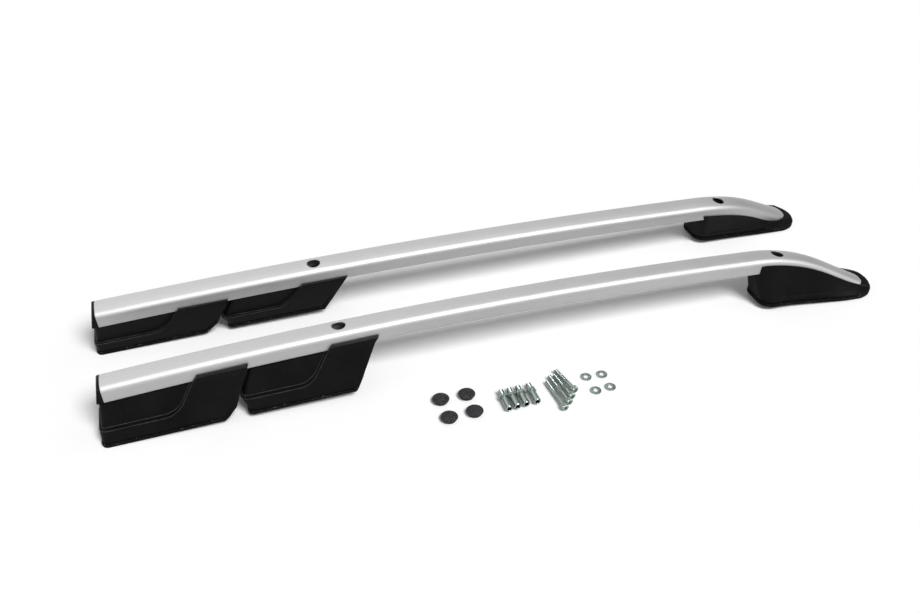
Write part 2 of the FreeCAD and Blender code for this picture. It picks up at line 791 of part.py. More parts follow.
def nose_prism(inset):
    """Everything behind the round nose of the front sole."""
    arc, first, last = nose_arc(inset, -FAR / 2, size("NoseFlare"))
    corners = [
        last,
        Vector(last.x, FAR, last.z),
        Vector(-FAR, FAR, last.z),
        Vector(-FAR, -FAR, last.z),
        Vector(first.x, -FAR, last.z),
        first,
    ]
    edges = [Part.LineSegment(one, two) for one, two in zip(corners, corners[1:])]
    edges.append(arc)
    return Part.Face(Part.Wire([edge.toShape() for edge in edges])).extrude(ALONG_Z * FAR)


def behind_rear_face(inset):
    """Everything behind the front foot's raked rear face, drawn inset."""
    low = Vector(FRONT_PAD_X + size("FrontPadRim") + inset, 0, front_sole.rear.z)
    reach = FAR / 2
    lean = size("FrontFootLean")
    ring = [
        low + Vector(lean * reach, 0, -reach),
        low + Vector(-lean * reach, 0, reach),
        low + Vector(-FAR, 0, reach),
        low + Vector(-FAR, 0, -reach),
    ]
    return slab([point - ALONG_Y * FAR for point in ring], ALONG_Y * (2 * FAR))


def front_form(inset, recesses, bottom):
    """The front shell, drawn inset, its sides set in by recesses and its rear corners rounded."""
    sections = [shell_section(station, inset, recesses, bottom) for station in front_stations()]
    shell = Part.makeLoft(sections, True, False).common(above_sole(front_sole, bottom))
    shell = shell.common(nose_prism(size("FrontPadRim") + inset)).cut(behind_rear_face(inset))
    upright = []
    for edge in shell.Edges:
        box = edge.BoundBox
        if box.XMax < FRONT_WIDEN_X and box.ZLength > max(box.YLength, size("RailHeight")):
            upright.append(edge)
    narrow = size("RailWidth") / 2 + size("FrontProudOuter") - recesses[0]
    corner = min(size("FrontFootCorner"), narrow - size("RibThickness") / 2)
    return shell.makeFillet(corner - inset, upright)


def front_band():
    """The part of the front foot that stands proud: behind the crease, and the ledge along the sole."""
    crease = front_sole.s_of(FRONT_PAD_X + size("FrontCreaseAhead"))
    ledge = size("FrontLedgeHeight")
    rise = FAR / 2
    return side_prism(front_sole, [
        (crease, ledge),
        (crease - size("FrontCreaseLean") * rise, ledge + rise),
        (-FAR, ledge + rise),
        (-FAR, -rise),
        (FAR, -rise),
        (FAR, ledge),
    ])


def make_front_foot():
    pad = size("PadThickness")
    wall = size("FootWall")
    flush = (0, 0)
    recesses = (size("FrontRecessOuter"), size("FrontRecessInner"))
    groove = (size("GrooveDepth"), size("GrooveDepth"))
    bolt_s = front_sole.s_of(FRONT_BOLT_X)
    ribs = rib_slabs(front_sole, [bolt_s + size("RibSpacing"), bolt_s + 2 * size("RibSpacing")])
    band = front_band()
    proud = front_form(0, flush, pad).common(band)
    recessed = front_form(0, recesses, pad).cut(band)
    form = grooved(proud.fuse(recessed), front_form(0, groove, pad), front_sole)
    hollow = front_form(wall, recesses, pad - wall)
    under_nose = above_sole(front_sole, pad + wall)
    nose_block = Part.makeBox(FAR, FAR, FAR, Vector(path.bend_end.x, -FAR / 2, -FAR / 2))
    hollow = hollow.cut(nose_block)
    body = fit_to_rail(form, hollow, ribs + [boss_column(FRONT_BOLT_X)], FRONT_BOLT_X)
    floor_skin = form.common(nose_block).cut(under_nose)
    body = body.fuse(floor_skin)
    body = add_bolt_boss(body, FRONT_BOLT_X)
    return one_solid(body.removeSplitter())


# Rubber pads under the feet

def drill_for_bush(body, bolt_x):
    width = size("BushDiameter") + 2 * size("BushFit")
    return body.cut(rod(bolt_x, width, -FAR, 0))


def make_panel_pad(foot, bolt_x=None):
    pad = size("PadThickness")
    rim = size("PadOverhang")
    toe_length = foot.toe.Length
    lift = Vector(-foot.toe.y, foot.toe.x, 0) * (pad / toe_length)
    toe_top = Vector(foot.length, 0, 0) + foot.toe
    seat_top = toe_top + lift
    seat_bottom = Vector(foot.length, 0, 0) + lift + foot.toe * ((pad - lift.y) / foot.toe.y)
    outline = [
        (-rim, 0),
        (foot.length, 0),
        (toe_top.x, toe_top.y),
        (seat_top.x, seat_top.y),
        (seat_bottom.x, pad),
        (-rim, pad),
    ]
    section = foot_section(foot, -rim, -rim, pad)
    section = [(section[0][0], 0)] + section + [(section[-1][0], 0)]
    body = side_prism(foot.sole, outline).common(section_prism(foot.sole, section))
    boxes = [(edge, edge.BoundBox) for edge in body.Edges]
    rear_limit = foot.sole.rear.x + pad
    corners = [edge for edge, box in boxes if box.XMax < rear_limit and box.ZLength > pad / 2]
    body = body.makeFillet(size("RearCornerRadius"), corners)
    return one_solid(body if bolt_x is None else drill_for_bush(body, bolt_x))


def make_front_pad():
    """A flat pad whose plan has round rear corners, easing sides and a round nose."""
    corner = size("FrontPadCorner")
    cut_in = corner * (1 - math.cos(math.radians(45)))
    nose, first, last = nose_arc(0, 0)
    span = FRONT_WIDEST_X - FRONT_WIDEN_X
    steps = [FRONT_WIDEN_X + span * quarter / 4 for quarter in range(5)]
    outer = [Vector(x, plan_edges(x)[0], 0) for x in steps]
    inner = [Vector(x, plan_edges(x)[1], 0) for x in steps]
    sides = []
    for line in (outer, inner):
        curve = Part.BSplineCurve()
        curve.interpolate(line, InitialTangent=ALONG_X, FinalTangent=ALONG_X)
        sides.append(curve)
    turns = []
    for line, side in ((outer, 1), (inner, -1)):
        start = Vector(FRONT_PAD_X, line[0].y + side * corner, 0)
        middle = Vector(FRONT_PAD_X + cut_in, line[0].y + side * cut_in, 0)
        turns.append((start, middle, Vector(FRONT_PAD_X + corner, line[0].y, 0)))
    edges = [
        Part.LineSegment(turns[1][0], turns[0][0]),
        Part.Arc(*turns[0]),
        Part.LineSegment(turns[0][2], outer[0]),
        sides[0],
        nose,
        sides[1],
        Part.LineSegment(inner[0], turns[1][2]),
        Part.Arc(*reversed(turns[1])),
    ]
    face = Part.Face(Part.Wire(Part.__sortEdges__([edge.toShape() for edge in edges])))
    tilt = FreeCAD.Rotation(ALONG_X, front_sole.along)
    shift = front_sole.rear - tilt.multVec(Vector(FRONT_PAD_X, 0, 0))
    face.Placement = FreeCAD.Placement(shift, tilt)
    pad = face.extrude(front_sole.up * size("PadThickness"))
    return one_solid(drill_for_bush(pad, FRONT_BOLT_X))


# Steel bushes, clamp plates and clamp screws inside each rail

def make_bushes():
    bushes = []
    for x, sole in zip(BOLT_XS, BOLT_SOLES):
        point, axis = bolt_frame(x)
        to_sole = (point - sole.rear).dot(sole.up) / axis.dot(sole.up)
        bottom = size("BushSoleGap") - to_sole
        bush = rod(x, size("BushDiameter"), bottom, size("BossRise"))
        bush = bush.cut(rod(x, size("BushBore"), bottom, bottom + size("BushBoreDepth")))
        bushes.append(bush.cut(rod(x, size("BushBoltHole"), bottom, size("BossRise"))))
    return Part.makeCompound(bushes)


def make_clamp_plates():
    wall = size("RailWall")
    half = size("RailWidth") / 2 - wall - size("PlateSideGap")
    fit = size("RailFit")
    strip = sweep_along_rail(box_outline(half, wall + fit, wall + fit + size("PlateThickness")))
    plates = []
    for x in CLAMP_XS:
        length = size("PlateLength")
        window = Part.makeBox(length, FAR, FAR, Vector(x - length / 2, -FAR / 2, -FAR / 2))
        plate = strip.common(window).cut(rod(x, size("PlateHole"), -size("RailHeight"), size("RailHeight")))
        for point, up in clamp_frames(x):
            radius = size("ClampScrewDiameter") / 2 + size("ClampHoleGap")
            plate = plate.cut(Part.makeCylinder(radius, size("RailHeight"), point, up))
        plates.append(one_solid(plate))
    return Part.makeCompound(plates)


def make_clamp_screws():
    """Pan-head screws from below each deck, through the slot, into the clamp plate."""
    screws = []
    head_top = -size("DeckThickness") - size("RailFit")
    for x in CLAMP_XS:
        for point, up in clamp_frames(x):
            head = Part.makeCylinder(size("ClampHeadDiameter") / 2, size("ClampHeadHeight"),
                                     point + up * (head_top - size("ClampHeadHeight")), up)
            shank = Part.makeCylinder(size("ClampScrewDiameter") / 2, size("ClampScrewLength"),
                                      point + up * head_top, up)
            screws.append(head.fuse(shank).removeSplitter())
    return Part.makeCompound(screws)


# Loose fixings, turned from sketches

def of_half(alias):
    return ((0.5, alias),)


def of_sum(*aliases):
    return tuple((1.0, alias) for alias in aliases)


def value_of(terms):
    return sum(factor * size(alias) for factor, alias in terms)


def bind_point(sketch, line, terms, kind, axis):
    """Ties one coordinate of a line's start to the sheet, or to an axis when it has no terms."""
    if not terms:
        sketch.addConstraint(Sketcher.Constraint("PointOnObject", line, 1, axis))
        return
    index = sketch.addConstraint(Sketcher.Constraint(kind, -1, 1, line, 1, value_of(terms)))
    expression = " + ".join("%g * Sizes.%s" % term for term in terms)
    sketch.setExpression("Constraints[%d]" % index, expression)


def turned_body(label, profile):
    """A body turned about z from a closed profile of (radius, height) corners."""
    body = doc.addObject("PartDesign::Body", label)
    sketch = body.newObject("Sketcher::SketchObject", label + "Profile")
    plane = next(item for item in body.Origin.OriginFeatures if item.Role == "XZ_Plane")
    sketch.AttachmentSupport = [(plane, "")]
    sketch.MapMode = "FlatFace"
    points = [Vector(value_of(radius), value_of(height), 0) for radius, height in profile]
    for here, there in zip(points, points[1:] + points[:1]):
        sketch.addGeometry(Part.LineSegment(here, there), False)
    for index in range(len(points)):
        following = (index + 1) % len(points)
        sketch.addConstraint(Sketcher.Constraint("Coincident", index, 2, following, 1))
    for index, (radius, height) in enumerate(profile):
        bind_point(sketch, index, radius, "DistanceX", -2)
        bind_point(sketch, index, height, "DistanceY", -1)
    turning = body.newObject("PartDesign::Revolution", label + "Turning")
    turning.Profile = sketch
    turning.ReferenceAxis = (sketch, ["V_Axis"])
    turning.Angle = 360
    body.Tip = turning
    doc.recompute()
    return body


def hexagon(across_flats, depth, base):
    """A hexagonal prism on the z axis."""
    prism = doc.addObject("Part::Prism", base + "Hexagon")
    prism.Polygon = 6
    prism.setExpression("Circumradius", "Sizes.%s / sqrt(3)" % across_flats)
    prism.setExpression("Height", "Sizes.%s" % depth)
    return prism


def plug_master():
    skirt = of_half("PlugSkirtDiameter")
    bore = ((0.5, "PlugSkirtDiameter"), (-1.0, "PlugWall"))
    rim = of_half("PlugDiameter")
    top = of_sum("PlugSkirtDepth", "PlugRim")
    dome = of_sum("PlugSkirtDepth", "PlugRim", "PlugDome")
    dome_edge = ((0.5, "PlugDiameter"), (-1.0, "PlugDome"))
    return turned_body("Plug", [
        ((), of_sum("PlugSkirtDepth")),
        (bore, of_sum("PlugSkirtDepth")),
        (bore, ()),
        (skirt, ()),
        (skirt, of_sum("PlugSkirtDepth")),
        (rim, of_sum("PlugSkirtDepth")),
        (rim, top),
        (dome_edge, ((1.0, "PlugSkirtDepth"), (1.0, "PlugRim"), (0.75, "PlugDome"))),
        ((), dome),
    ])


def washer_master():
    return turned_body("Washer", [
        (of_half("WasherHole"), ()),
        (of_half("WasherDiameter"), ()),
        (of_half("WasherDiameter"), of_sum("WasherThickness")),
        (of_half("WasherHole"), of_sum("WasherThickness")),
    ])


def standoff_master():
    """Threaded stand-off: blind tapped body below, hexagonal collar, stud above."""
    body_r = of_half("StandoffDiameter")
    bevelled = ((0.5, "StandoffDiameter"), (-1.0, "StandoffBevel"))
    stud_r = of_half("StudDiameter")
    stud_bevelled = ((0.5, "StudDiameter"), (-1.0, "StandoffBevel"))
    bore = of_half("StandoffBore")
    full = ("StandoffLength", "CollarLength", "StudLength")
    shaft = turned_body("StandoffShaft", [
        (bore, ()),
        (bevelled, ()),
        (body_r, of_sum("StandoffBevel")),
        (body_r, of_sum("StandoffLength")),
        (stud_r, of_sum("StandoffLength")),
        (stud_r, ((1.0, full[0]), (1.0, full[1]), (1.0, full[2]), (-1.0, "StandoffBevel"))),
        (stud_bevelled, of_sum(*full)),
        ((), of_sum(*full)),
        ((), of_sum("StandoffBoreDepth")),
        (bore, of_sum("StandoffBoreDepth")),
    ])
    collar = hexagon("CollarAcrossFlats", "CollarLength", "Collar")
    collar.setExpression("Placement.Base.z", "Sizes.StandoffLength")
    joined = doc.addObject("Part::MultiFuse", "Standoff")
    joined.Shapes = [shaft, collar]
    doc.recompute()
    return joined


def screw_master(label, length):
    """Socket-head cap screw standing on its tip, head up."""
    shank = of_half("ScrewDiameter")
    tip = ((0.5, "ScrewDiameter"), (-1.0, "ScrewBevel"))
    head = of_half("ScrewHeadDiameter")
    head_bevelled = ((0.5, "ScrewHeadDiameter"), (-1.0, "ScrewBevel"))
    blank = turned_body(label + "Blank", [
        ((), ()),
        (tip, ()),
        (shank, of_sum("ScrewBevel")),
        (shank, of_sum(length)),
        (head, of_sum(length)),
        (head, ((1.0, length), (1.0, "ScrewHeadHeight"), (-1.0, "ScrewBevel"))),
        (head_bevelled, of_sum(length, "ScrewHeadHeight")),
        ((), of_sum(length, "ScrewHeadHeight")),
    ])
    socket = hexagon("SocketAcrossFlats", "SocketDepth", label + "Socket")
    depth = "Sizes.%s + Sizes.ScrewHeadHeight - Sizes.SocketDepth" % length
    socket.setExpression("Placement.Base.z", depth)
    screw = doc.addObject("Part::Cut", label)
    screw.Base = blank
    screw.Tool = socket
    doc.recompute()
    return screw


def lying(tip_x, tip_y, head_x, head_y, height):
    """Placement of a turned piece lying on its side, its base at the tip, its top toward the head."""
    way = Vector(head_x - tip_x, head_y - tip_y, 0)
    return FreeCAD.Placement(Vector(tip_x, tip_y, height), FreeCAD.Rotation(ALONG_Z, way))


def placed_copies(pairs):
    copies = []
    for master, placement in pairs:
        copy = master.Shape.copy()
        copy.Placement = placement.multiply(copy.Placement)
        copies.append(copy.Solids[0])
    return Part.makeCompound(copies)


# Where each loose piece lies: x along the rails, and how far outboard of the right rail's sole line
PLUG_SPOTS = [(441.6, 44.6), (479.2, 45.5), (442.4, 82.7), (479.2, 81.7)]
WASHER_SPOTS = [(654.7, 58.6), (678.5, 60.2), (656.2, 89.4), (678.9, 88.6)]
STANDOFF_ENDS = [(525.5, 94.2), (537.9, 93.7), (551.2, 92.7), (567.3, 92.4)]
LONG_SCREWS = [(595.5, 55.1, 599.6, 115.2), (602.9, 46.1, 609.9, 105.4)]
SHORT_SCREWS = [(610.6, 46.4, 618.2, 96.1), (616.0, 36.4, 627.0, 84.9)]


def floor_y(outboard):
    return size("SoleOuterY") - outboard


def make_plugs():
    plug = plug_master()
    return placed_copies([(plug, FreeCAD.Placement(Vector(x, floor_y(out), 0), FreeCAD.Rotation()))
                          for x, out in PLUG_SPOTS])


def make_washers():
    washer = washer_master()
    return placed_copies([(washer, FreeCAD.Placement(Vector(x, floor_y(out), 0), FreeCAD.Rotation()))
                          for x, out in WASHER_SPOTS])


def make_standoffs():
    standoff = standoff_master()
    height = size("CollarAcrossFlats") / 2
    length = size("StandoffLength") + size("CollarLength") + size("StudLength")
    pairs = []
    for x, out in STANDOFF_ENDS:
        pairs.append((standoff, lying(x, floor_y(out), x, floor_y(out) + length, height)))
    return placed_copies(pairs)


def make_cap_screws():
    height = size("ScrewHeadDiameter") / 2
    pairs = []
    for length, label, spots in (("LongScrewLength", "LongScrew", LONG_SCREWS),
                                 ("ShortScrewLength", "ShortScrew", SHORT_SCREWS)):
        master = screw_master(label, length)
        for tip_x, tip_out, head_x, head_out in spots:
            pairs.append((master, lying(tip_x, floor_y(tip_out), head_x, floor_y(head_out), height)))
    return placed_copies(pairs)


# The right-hand pieces, the left-hand ones as their mirror images, and the loose set

RIGHT_PIECES = {
    "rail": make_rail,
    "rear_end_cap": make_end_cap,
    "rear_foot": lambda: make_panel_foot(rear_form, REAR_CLAMP_X),
    "middle_foot": lambda: make_panel_foot(middle_form, MIDDLE_BOLT_X, MIDDLE_BOLT_X),
    "front_foot": make_front_foot,
    "rear_pad": lambda: make_panel_pad(rear_form),
    "middle_pad": lambda: make_panel_pad(middle_form, MIDDLE_BOLT_X),
    "front_pad": make_front_pad,
    "mounting_bushes": make_bushes,
    "clamp_plates": make_clamp_plates,
    "clamp_screws": make_clamp_screws,
}
LOOSE_PIECES = {
    "hole_plugs": make_plugs,
    "threaded_standoffs": make_standoffs,
    "cap_screws": make_cap_screws,
    "flat_washers": make_washers,
}

right = [feature("right_" + name, make()) for name, make in RIGHT_PIECES.items()]
loose = [feature(name, make()) for name, make in LOOSE_PIECES.items()]
left = []
for piece in right:
    twin = doc.addObject("Part::Mirroring", piece.Label.replace("right_", "left_"))
    twin.Label = twin.Name
    twin.Source = piece
    twin.Normal = ALONG_Y
    left.append(twin)
pieces = right + left + loose

# The pair stands about a middle plane; the origin is the middle of the whole set's base
rail_offset = -size("RailSpacing") / 2
left_shift = Vector(size("LeftRailShift"), 0, 0)
doc.recompute()
box = FreeCAD.BoundBox()
for piece in right + loose:
    piece.Placement = FreeCAD.Placement(Vector(0, rail_offset, 0), FreeCAD.Rotation())
    box.add(piece.Shape.optimalBoundingBox())
for twin in left:
    twin.Placement = FreeCAD.Placement(left_shift, FreeCAD.Rotation())
doc.recompute()
for twin in left:
    box.add(twin.Shape.optimalBoundingBox())
centre = Vector(box.Center.x, box.Center.y, box.ZMin)
for piece in right + loose:
    piece.Placement = FreeCAD.Placement(Vector(0, rail_offset, 0) - centre, FreeCAD.Rotation())
for twin in left:
    twin.Base = Vector(0, -centre.y, 0)
    twin.Placement = FreeCAD.Placement(left_shift, FreeCAD.Rotation())
doc.recompute()

for item in doc.Objects:
    if "Invalid" in item.State or "Error" in item.State:
        raise RuntimeError("%s did not compute" % item.Name)
for piece in pieces:
    shape = piece.Shape
    if shape.isNull() or not shape.isValid() or not shape.Solids:
        raise RuntimeError("%s has no sound shape" % piece.Label)
for piece in pieces:
    piece.Shape.exportStep("parts/%s.step" % piece.Label)
    print(piece.Label, len(piece.Shape.Solids), round(piece.Shape.Volume / 1000, 2), "cm3")
print("origin", centre)
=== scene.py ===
import math

import bmesh
import bpy
from mathutils import Matrix, Vector


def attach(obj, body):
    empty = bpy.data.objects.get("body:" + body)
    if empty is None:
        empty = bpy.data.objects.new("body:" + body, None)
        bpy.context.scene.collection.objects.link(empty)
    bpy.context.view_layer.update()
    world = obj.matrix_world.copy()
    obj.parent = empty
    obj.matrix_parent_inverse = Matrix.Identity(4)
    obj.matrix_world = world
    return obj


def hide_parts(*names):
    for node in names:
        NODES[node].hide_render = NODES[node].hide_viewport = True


bl_info = {
    "name": "Roof side rails",
    "version": (1, 0, 0),
    "blender": (4, 5, 0),
    "location": "3D View > Sidebar > Roof Rails",
    "description": "Finishes a pair of roof side rails and their loose fixings",
    "category": "Object",
}

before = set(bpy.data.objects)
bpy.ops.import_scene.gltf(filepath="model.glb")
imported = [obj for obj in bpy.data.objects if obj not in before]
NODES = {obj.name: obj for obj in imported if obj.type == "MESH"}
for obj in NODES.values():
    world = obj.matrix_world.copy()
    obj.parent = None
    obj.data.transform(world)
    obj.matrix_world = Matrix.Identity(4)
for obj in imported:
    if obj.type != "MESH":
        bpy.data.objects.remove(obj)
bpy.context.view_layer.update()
SIDES = ("right", "left")
MM = 0.001
ALONG_Z = Vector((0, 0, 1))

# Points closer than this are one point: in the solids and threads, and in turned shapes
WELD = 0.001 * MM
FINE_WELD = 0.0001 * MM

# Flat facets that each round shape is turned in
SCREW_FACETS = 32
STANDOFF_FACETS = 40
WASHER_FACETS = 48
PLUG_FACETS = 64
RIM_FACETS = 6
CROWN_FACETS = 8

# Edges that turn by more than this stay sharp in the shading
SHARP_ANGLE = math.radians(32)

# How far a rounded corner's middle stands in from the sharp corner, as a share of its radius
CORNER_INSET = 0.3

# Share of a lying piece's length that is looked at to tell its thick end from its thin one
END_SHARE = 0.05

# The two short screws come first when the cap screws are sorted by length
SHORT_SCREWS = 2


# Shared shader effects, each a node group that puts out masks, values or normals

# Most of a noise lies between these two values
NOISE_LOW = 0.3
NOISE_HIGH = 0.7

# How far the die's lines are drawn out: pattern scale along the rail and across it
DRAWN_OUT = (2.0, 900.0, 900.0)

# How steeply a speck of dust rises from nothing to full
SPECK_SHARPNESS = 30.0

# Rays that feel for the edges near each point
EDGE_SAMPLES = 6

# An edge's painted highlight shows where the rounded normal leaves the face's own, by the cosine
# between them
EDGE_START = 0.985
EDGE_FULL = 0.9

# The painted highlight comes in as an edge comes to face up, between these two heights of its
# rounded normal
UPWARD_START = 0.2
UPWARD_FULL = 0.55


def new_group(name, inputs, outputs):
    """An empty shader group with float inputs (name, default) and outputs (name, socket type)."""
    group = bpy.data.node_groups.new(name, "ShaderNodeTree")
    for label, default in inputs:
        socket = group.interface.new_socket(label, in_out="INPUT", socket_type="NodeSocketFloat")
        socket.default_value = default
    for label, kind in outputs:
        group.interface.new_socket(label, in_out="OUTPUT", socket_type=kind)
    entry = group.nodes.new("NodeGroupInput")
    leave = group.nodes.new("NodeGroupOutput")
    return group, entry, leave


def set_or_link(tree, value, socket):
    """Gives a socket a plain number, or a link where the value is another socket."""
    if isinstance(value, (int, float)):
        socket.default_value = value
    else:
        tree.links.new(value, socket)


def noise_node(tree, coordinates, scale, detail):
    noise = tree.nodes.new("ShaderNodeTexNoise")
    noise.inputs["Detail"].default_value = detail
    tree.links.new(coordinates, noise.inputs["Vector"])
    tree.links.new(scale, noise.inputs["Scale"])
    return noise.outputs["Fac"]


def remap_node(tree, value, low, high, to_low, to_high):
    """A value moved from the range low to high into the range to_low to to_high, and kept in it."""
    remap = tree.nodes.new("ShaderNodeMapRange")
    remap.inputs["From Min"].default_value = low
    remap.inputs["From Max"].default_value = high
    set_or_link(tree, to_low, remap.inputs["To Min"])
    set_or_link(tree, to_high, remap.inputs["To Max"])
    tree.links.new(value, remap.inputs["Value"])
    return remap.outputs["Result"]


def math_node(tree, operation, first, second):
    node = tree.nodes.new("ShaderNodeMath")
    node.operation = operation
    set_or_link(tree, first, node.inputs[0])
    set_or_link(tree, second, node.inputs[1])
    return node.outputs["Value"]


def dot_node(tree, first, second):
    """The dot product of a vector and another vector or a fixed direction."""
    node = tree.nodes.new("ShaderNodeVectorMath")
    node.operation = "DOT_PRODUCT"
    tree.links.new(first, node.inputs[0])
    if isinstance(second, tuple):
        node.inputs[1].default_value = second
    else:
        tree.links.new(second, node.inputs[1])
    return node.outputs["Value"]


def stretched(tree, coordinates, stretch):
    """The coordinates scaled by a vector, which draws a pattern out along an axis."""
    mapping = tree.nodes.new("ShaderNodeMapping")
    mapping.inputs["Scale"].default_value = stretch
    tree.links.new(coordinates, mapping.inputs["Vector"])
    return mapping.outputs["Vector"]


def build_fine_grain():
    """Fine even grain: a height for bump, and slow patches for tone and roughness."""
    inputs = [("Grain Scale", 2000.0), ("Patch Scale", 30.0)]
    outputs = [("Height", "NodeSocketFloat"), ("Patches", "NodeSocketFloat")]
    group, entry, leave = new_group("fine_grain", inputs, outputs)
    place = group.nodes.new("ShaderNodeTexCoord").outputs["Object"]
    grain = noise_node(group, place, entry.outputs["Grain Scale"], detail=2.0)
    patches = noise_node(group, place, entry.outputs["Patch Scale"], detail=3.0)
    group.links.new(grain, leave.inputs["Height"])
    group.links.new(patches, leave.inputs["Patches"])
    return group


def build_draw_lines():
    """Faint lines along the length, as an extrusion die leaves them."""
    inputs = [("Line Scale", 1.0)]
    group, entry, leave = new_group("draw_lines", inputs, [("Lines", "NodeSocketFloat")])
    place = group.nodes.new("ShaderNodeTexCoord").outputs["Object"]
    along_rail = stretched(group, place, DRAWN_OUT)
    lines = noise_node(group, along_rail, entry.outputs["Line Scale"], detail=3.0)
    group.links.new(lines, leave.inputs["Lines"])
    return group


def build_dust_specks():
    """Scattered pale specks of dust: a mask that is 1 on each speck."""
    inputs = [("Speck Scale", 900.0), ("Speck Limit", 0.74)]
    group, entry, leave = new_group("dust_specks", inputs, [("Specks", "NodeSocketFloat")])
    place = group.nodes.new("ShaderNodeTexCoord").outputs["Object"]
    field = noise_node(group, place, entry.outputs["Speck Scale"], detail=1.0)
    over = math_node(group, "SUBTRACT", field, entry.outputs["Speck Limit"])
    risen = math_node(group, "MULTIPLY", over, SPECK_SHARPNESS)
    limited = group.nodes.new("ShaderNodeClamp")
    group.links.new(risen, limited.inputs["Value"])
    group.links.new(limited.outputs["Result"], leave.inputs["Specks"])
    return group


def build_soft_edges():
    """Normals rounded off at the edges by a radius, and a mask of the edges that face up, where
    highlights are painted.
    """
    outputs = [("Normal", "NodeSocketVector"), ("Edges", "NodeSocketFloat")]
    group, entry, leave = new_group("soft_edges_and_highlights", [("Radius", 0.5 * MM)], outputs)
    bevel = group.nodes.new("ShaderNodeBevel")
    bevel.samples = EDGE_SAMPLES
    rounded = bevel.outputs["Normal"]
    group.links.new(entry.outputs["Radius"], bevel.inputs["Radius"])
    group.links.new(rounded, leave.inputs["Normal"])
    flat = group.nodes.new("ShaderNodeNewGeometry").outputs["Normal"]
    agreement = dot_node(group, rounded, flat)
    turned_off = remap_node(group, agreement, EDGE_START, EDGE_FULL, 0.0, 1.0)
    # Only edges that face up get the painted highlight, as an overhead light would light them
    upward = dot_node(group, rounded, tuple(ALONG_Z))
    facing_up = remap_node(group, upward, UPWARD_START, UPWARD_FULL, 0.0, 1.0)
    group.links.new(math_node(group, "MULTIPLY", turned_off, facing_up), leave.inputs["Edges"])
    return group


EFFECTS = {
    "fine_grain": build_fine_grain,
    "draw_lines": build_draw_lines,
    "dust_specks": build_dust_specks,
    "soft_edges_and_highlights": build_soft_edges,
}


def effect(material, name, **values):
    """Places a shared effect in a material with its own values, and builds it on first use."""
    node = material.node_tree.nodes.new("ShaderNodeGroup")
    node.name = name
    node.node_tree = bpy.data.node_groups.get(name) or EFFECTS[name]()
    for label, value in values.items():
        node.inputs[label.replace("_", " ")].default_value = value
    return node


# Materials

DARK_DUST = (0.05, 0.05, 0.05)
PALE_DUST = (0.25, 0.25, 0.24)
# A painted highlight for the dark steel's upper edges
STEEL_EDGE_HIGHLIGHT = (0.12, 0.12, 0.12)

# Painted highlights on the edges that face up, in grey: plain on the feet and caps, nearly none on
# the front shells
BRIGHT_EDGE_HIGHLIGHT = (0.22, 0.22, 0.22)
FAINT_EDGE_HIGHLIGHT = (0.03, 0.03, 0.03)

# Shares of red, green and blue that tint the zinc one way and the other
BLUISH = (0.82, 0.93, 0.96)
YELLOWISH = (1.08, 1.05, 0.96)


def tinted(colour, shares):
    """A colour with its channels scaled, each by a share of its own."""
    return tuple(min(1.0, channel * share) for channel, share in zip(colour, shares))


def scaled(colour, share):
    return tinted(colour, (share, share, share))


def two_tones(material, mask, dark, pale, spread=0.2):
    """A colour that moves between two tones with a mask, over a spread to each side of 0.5."""
    tree = material.node_tree
    ramp = tree.nodes.new("ShaderNodeValToRGB")
    low, high = ramp.color_ramp.elements
    low.position = 0.5 - spread
    low.color = (*dark, 1)
    high.position = 0.5 + spread
    high.color = (*pale, 1)
    tree.links.new(mask, ramp.inputs["Fac"])
    return ramp.outputs["Color"]


def laid_over(material, colour, mask, top_colour):
    """A colour with a plain one laid over it where a mask is 1."""
    tree = material.node_tree
    mix = tree.nodes.new("ShaderNodeMix")
    mix.data_type = "RGBA"
    below, above = [socket for socket in mix.inputs if socket.type == "RGBA"]
    tree.links.new(mask, mix.inputs["Factor"])
    tree.links.new(colour, below)
    above.default_value = (*top_colour, 1)
    return next(socket for socket in mix.outputs if socket.type == "RGBA")


def paint(material, colour):
    tree = material.node_tree
    tree.links.new(colour, tree.nodes["Principled BSDF"].inputs["Base Color"])


def grained(name, colour, roughness, metallic, specular, grain_scale, patch_scale, grain_depth,
            edge_radius, uneven):
    """A material with fine grain, softened edges and a roughness that varies by an uneven share."""
    material = bpy.data.materials.new(name)
    material.use_nodes = True
    tree = material.node_tree
    shader = tree.nodes["Principled BSDF"]
    shader.inputs["Base Color"].default_value = (*colour, 1)
    shader.inputs["Roughness"].default_value = roughness
    shader.inputs["Metallic"].default_value = metallic
    shader.inputs["Specular IOR Level"].default_value = specular
    grain = effect(material, "fine_grain", Grain_Scale=grain_scale, Patch_Scale=patch_scale)
    edges = effect(material, "soft_edges_and_highlights", Radius=edge_radius)
    varied = remap_node(tree, grain.outputs["Patches"], NOISE_LOW, NOISE_HIGH,
                        roughness * (1 - uneven), roughness * (1 + uneven))
    tree.links.new(varied, shader.inputs["Roughness"])
    bump = tree.nodes.new("ShaderNodeBump")
    bump.inputs["Distance"].default_value = grain_depth
    tree.links.new(grain.outputs["Height"], bump.inputs["Height"])
    tree.links.new(edges.outputs["Normal"], bump.inputs["Normal"])
    tree.links.new(bump.outputs["Normal"], shader.inputs["Normal"])
    return material


def patches_of(material):
    """The slow patches of a grained material."""
    return material.node_tree.nodes["fine_grain"].outputs["Patches"]


def highlight_edges_of(material):
    """The mask of a grained material's edges that face up, where a highlight is painted."""
    return material.node_tree.nodes["soft_edges_and_highlights"].outputs["Edges"]


def satin_anodised(finishes):
    """Bead-blasted and anodised aluminium with the faint lines of the extrusion."""
    colour = finishes.aluminium_colour
    material = grained(
        "satin_anodised", colour, finishes.aluminium_roughness, metallic=1.0, specular=0.5,
        grain_scale=2600.0, patch_scale=18.0, grain_depth=0.006 * MM, edge_radius=2.0 * MM,
        uneven=0.05)
    lines = effect(material, "draw_lines", Line_Scale=1.0)
    dark = scaled(colour, 0.975)
    pale = scaled(colour, 1.025)
    paint(material, two_tones(material, lines.outputs["Lines"], dark, pale))
    return material


